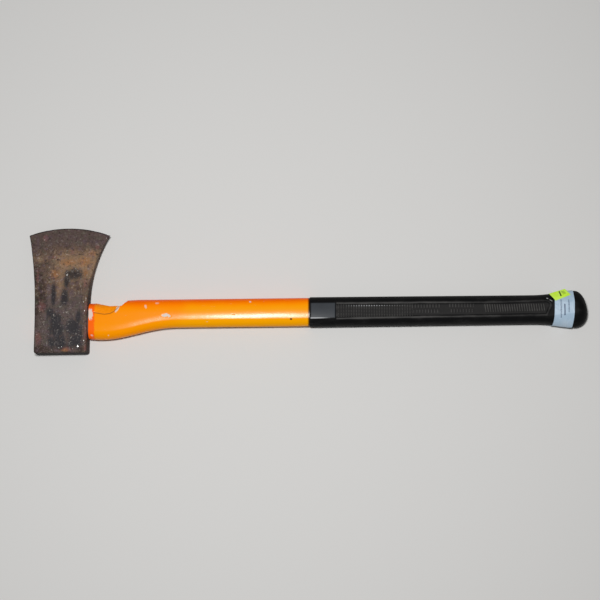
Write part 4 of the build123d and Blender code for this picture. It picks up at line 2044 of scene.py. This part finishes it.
@dataclass
class PaperLabel:
    """Blank paper label wrapped over the neck of the knob."""

    grip: Grip
    start: float = 812.4
    width: float = 32.4
    wrap: float = 12.0  # how far it goes past the middle plane on both sides
    glue: float = 0.3
    thickness: float = 0.25
    tilt: float = 1.8
    bow: float = 2.0
    rows: int = 84
    columns: int = 190
    dark_bar: tuple[float, float, float] = (16.3, -3.0, 18.5)  # place, offset and length
    dark_half: float = 1.0
    faint_bars: tuple[tuple[float, float, float], ...] = ((10.4, -1.0, 31.0), (23.0, 3.0, 22.0))
    faint_half: float = 1.2
    faint_strength: float = 0.5
    crease_height: float = 0.3
    wave_height: float = 0.2
    loose_height: float = 0.5

    def across(self, x: float) -> Array:
        """Points along the grip's surface at x, from its back over the top to its front.

        Args:
            x: Place along the handle.

        Returns:
            The points, as many as there are columns.
        """
        section = self.grip.section(x, -(self.glue + self.thickness))
        quarter = len(section) // 4
        from_below = np.roll(section, quarter, axis=0)
        steps = np.hypot(*np.diff(from_below, axis=0).T)
        along = np.concatenate(([0.0], np.cumsum(steps)))
        reached = np.nonzero(from_below[:, 1] > -self.wrap)[0]
        places = np.linspace(along[reached[-1]], along[reached[0]], self.columns)
        wanted = [np.interp(places, along, from_below[:, i]) for i in (0, 1)]
        return LINE.loop(x, np.column_stack(wanted))

    def lift(self, grid: Array) -> Array:
        """How far creases, waves and loose edges lift each point of the label.

        Args:
            grid: Rows of points on the flat label.

        Returns:
            The lift of each point.
        """
        creased = grid * (1.0, 0.35, 0.35)
        ridges = np.abs(random_field(creased, size=7.0, seed=3.3))
        waves = 1.0 + random_field(grid, size=11.0, seed=6.6)
        lift = self.crease_height * (1.0 - ease(ridges, 0.0, 0.12)) + self.wave_height * waves
        edge = np.abs(np.linspace(-1.0, 1.0, self.rows))[:, None]
        loose = ease(random_field(grid, size=13.0, seed=8.1), 0.0, 0.4)
        return lift + self.loose_height * ease(edge, 0.86, 1.0) * loose

    def bar(self, place: tuple[float, float, float], half: float, x: Array, y: Array) -> Array:
        """Plain bar across the label, 1 on it and 0 off it.

        Args:
            place: Its place, offset and length.
            half: Half its breadth.
            x: Places along the handle.
            y: Places across it.

        Returns:
            How far each place is on it.
        """
        along, offset, length = place
        reach = np.abs(y - LINE.y(x) - offset)
        on_bar = ease(np.abs(x - self.start - along), half + 0.3, half - 0.1)
        return on_bar * ease(reach, length / 2.0 + 0.3, length / 2.0)

    def dress(self) -> bpy.types.Object:
        """Builds the label, wrinkles it and gives it its finish.

        Returns:
            The piece.
        """
        side = np.linspace(-1.0, 1.0, self.columns)
        grid = []
        for share in np.linspace(0.0, 1.0, self.rows):
            line = self.across(self.start + self.width * share)
            flat = self.across(self.start + self.width * share + 1.0) - line
            shift = self.tilt * side - self.bow * side**2
            grid.append(line + flat * shift[:, None])
        grid = np.array(grid)
        lift = self.lift(grid)
        piece = build_sheet("paper_label", grid + upward(grid) * lift[..., None], self.thickness)
        x, y, _ = read_points(piece).T
        marks = self.bar(self.dark_bar, self.dark_half, x, y)
        for bar in self.faint_bars:
            marks += self.faint_strength * self.bar(bar, self.faint_half, x, y)
        write_mark(piece, "ruled", marks)
        finish = BlankPaper(
            "blank_label_paper",
            paper=from_display(168, 192, 212),
            ink=from_display(66, 84, 112),
            ink_strength=0.9,
        )
        piece.data.materials.append(finish.material())
        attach(piece, BODY)
        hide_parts("paper_label")
        return piece


@dataclass
class PriceSticker:
    """Blank fluorescent sticker over the label's edge, standing off past the grip."""

    grip: Grip
    corners: tuple[Point, Point, Point, Point] = (
        (805.0, 43.9),
        (832.6, 52.6),
        (840.0, 41.6),
        (814.0, 30.9),
    )
    stand_off: float = 0.8  # share of the front reach where it leaves the surface
    stiffness: float = 0.9  # how much of the surface's last slope it keeps there
    over: float = 1.4  # of its upper face over the rubber
    thickness: float = 0.25
    rows: int = 60
    columns: int = 36

    def height(self, x: float, y: float) -> float:
        """Height of the sticker's upper face.

        Args:
            x: Place along the handle.
            y: Place across it.

        Returns:
            The height.
        """
        section = self.grip.section(x, -self.over)
        upper = section[: len(section) // 2][::-1]
        across, up = upper.T
        offset = y - LINE.y(x)
        leave = self.stand_off * across[-1]
        if offset <= leave:
            return LINE.height + float(np.interp(offset, across, up))
        step = 0.5
        before, at = np.interp((leave - step, leave), across, up)
        slope = (at - before) / step
        return LINE.height + float(at + slope * (offset - leave) * self.stiffness)

    def dress(self) -> bpy.types.Object:
        """Builds the sticker and gives it its finish.

        Returns:
            The piece.
        """
        first, second, third, fourth = np.array(self.corners)
        grid = np.zeros((self.rows, self.columns, 3))
        for i, along in enumerate(np.linspace(0.0, 1.0, self.rows)):
            outer = first + (second - first) * along
            inner = fourth + (third - fourth) * along
            for j, side in enumerate(np.linspace(0.0, 1.0, self.columns)):
                x, y = outer + (inner - outer) * side
                grid[i, j] = (x, y, self.height(x, y))
        piece = build_sheet("price_sticker", grid, self.thickness)
        along, side = np.meshgrid(
            np.linspace(0.0, 1.0, self.rows), np.linspace(0.0, 1.0, self.columns), indexing="ij"
        )
        leaned = along + 0.2 * (side - 0.5)
        marks = ease(np.abs(leaned - 0.52), 0.06, 0.03) * ease(np.abs(side - 0.42), 0.36, 0.3)
        marks += 0.45 * ease(np.abs(along - 0.76), 0.13, 0.09) * ease(np.abs(side - 0.4), 0.3, 0.22)
        write_mark(piece, "ruled", np.tile(marks.ravel(), 2))
        finish = BlankPaper(
            "blank_fluorescent_paper",
            paper=from_display(206, 252, 8),
            ink=from_display(56, 76, 8),
            ink_strength=0.95,
        )
        piece.data.materials.append(finish.material())
        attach(piece, BODY)
        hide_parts("price_sticker")
        return piece


# ---------------------------------------------------------------- inner pieces


@dataclass(frozen=True)
class InnerPieces:
    """Rod, bond and dam, which keep their solids' shapes."""

    finishes: tuple[tuple[str, GlassFibre], ...] = (
        (
            "handle_rod",
            GlassFibre(
                "rod_glass_fibre",
                resin=from_display(172, 160, 118),
                strand=from_display(206, 200, 176),
                size=0.9,
            ),
        ),
        (
            "eye_bond",
            GlassFibre(
                "eye_epoxy",
                resin=from_display(120, 104, 78),
                strand=from_display(92, 74, 56),
                size=4.0,
            ),
        ),
        (
            "eye_dam",
            GlassFibre(
                "dam_rubber",
                resin=from_display(30, 29, 28),
                strand=from_display(58, 54, 50),
                size=2.0,
            ),
        ),
    )

    def dress(self) -> None:
        """Gives each its finish."""
        for node, finish in self.finishes:
            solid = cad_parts[node]
            solid.data.materials.clear()
            solid.data.materials.append(finish.material())
            LOG.info("%s has its finish", node)


# ---------------------------------------------------------------- studio


@dataclass(frozen=True)
class Studio:
    """Pale floor, soft light from above and the camera, with places and sizes in metres."""

    aim: tuple[float, float, float] = (0.3932, 0.0345, 0.020)
    distance: float = 2.2
    elevation: float = 82.0  # degrees over the floor
    lens: float = 79.5  # millimetres, as the sensor's breadth
    sensor: float = 36.0
    sees_to: float = 50.0
    floor_colour: Colour = from_display(214, 213, 211)
    floor_size: float = 12.0
    sky: Colour = (1.0, 1.0, 1.0)
    sky_strength: float = 0.1
    key_place: tuple[float, float, float] = (0.25, -0.02, 2.3)
    key_size: tuple[float, float] = (0.19, 0.3)
    key_power: float = 45.0  # watts

    def camera(self) -> None:
        """Places the camera, looking down at the axe."""
        data = bpy.data.cameras.new("camera")
        data.lens = self.lens
        data.sensor_width = self.sensor
        data.clip_end = self.sees_to
        camera = bpy.data.objects.new("camera", data)
        up = math.radians(self.elevation)
        back = Vector((0.0, -math.cos(up), math.sin(up))) * self.distance
        camera.location = Vector(self.aim) + back
        camera.rotation_euler = (math.pi / 2.0 - up, 0.0, 0.0)
        bpy.context.scene.collection.objects.link(camera)
        bpy.context.scene.camera = camera

    def floor(self) -> None:
        """Lays a plain pale floor at the height of the lower cheek."""
        half = self.floor_size / 2.0
        mesh = bpy.data.meshes.new("floor")
        around = ((-half, -half), (half, -half), (half, half), (-half, half))
        corners = [(x, y, 0.0) for x, y in around]
        mesh.from_pydata(corners, [], [(0, 1, 2, 3)])
        floor = bpy.data.objects.new("floor", mesh)
        bpy.context.scene.collection.objects.link(floor)
        kit = Kit("pale_floor")
        mesh.materials.append(kit.finish(Base_Color=self.floor_colour, Roughness=0.9))
        floor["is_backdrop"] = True

    def lights(self) -> None:
        """Hangs one softbox beside the camera, in an evenly lit room."""
        world = bpy.data.worlds.new("white_room")
        world.use_nodes = True
        background = world.node_tree.nodes["Background"]
        background.inputs["Color"].default_value = (*self.sky, 1.0)
        background.inputs["Strength"].default_value = self.sky_strength
        bpy.context.scene.world = world
        data = bpy.data.lights.new("softbox", "AREA")
        data.shape = "RECTANGLE"
        data.size, data.size_y = self.key_size
        data.energy = self.key_power
        lamp = bpy.data.objects.new("softbox", data)
        lamp.location = self.key_place
        aim = Vector(self.aim) - Vector(self.key_place)
        lamp.rotation_euler = aim.to_track_quat("-Z", "Y").to_euler()
        bpy.context.scene.collection.objects.link(lamp)

    def build(self) -> None:
        """Sets up everything around the axe."""
        self.camera()
        self.floor()
        self.lights()
        bpy.context.scene.view_settings.view_transform = "Standard"


def write_sizes() -> None:
    """Works out the boxes of the solids and of the dressed axe; they are not written anywhere."""
    boxes = {"cad": SOLIDS_BOX, "visual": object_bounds()}
    lists = {title: [list(corner) for corner in box] for title, box in boxes.items()}


def main() -> None:
    """Builds the studio and dresses the axe."""
    logging.basicConfig(level=logging.INFO, format="%(name)s: %(message)s")
    Studio().build()
    grip = Grip()
    for maker in (Head(), Jacket(), grip, PaperLabel(grip), PriceSticker(grip)):
        piece = maker.dress()
        LOG.info("%s: %d faces", piece.name, len(piece.data.polygons))
    InnerPieces().dress()
    write_sizes()


if __name__ == "__main__":
    main()
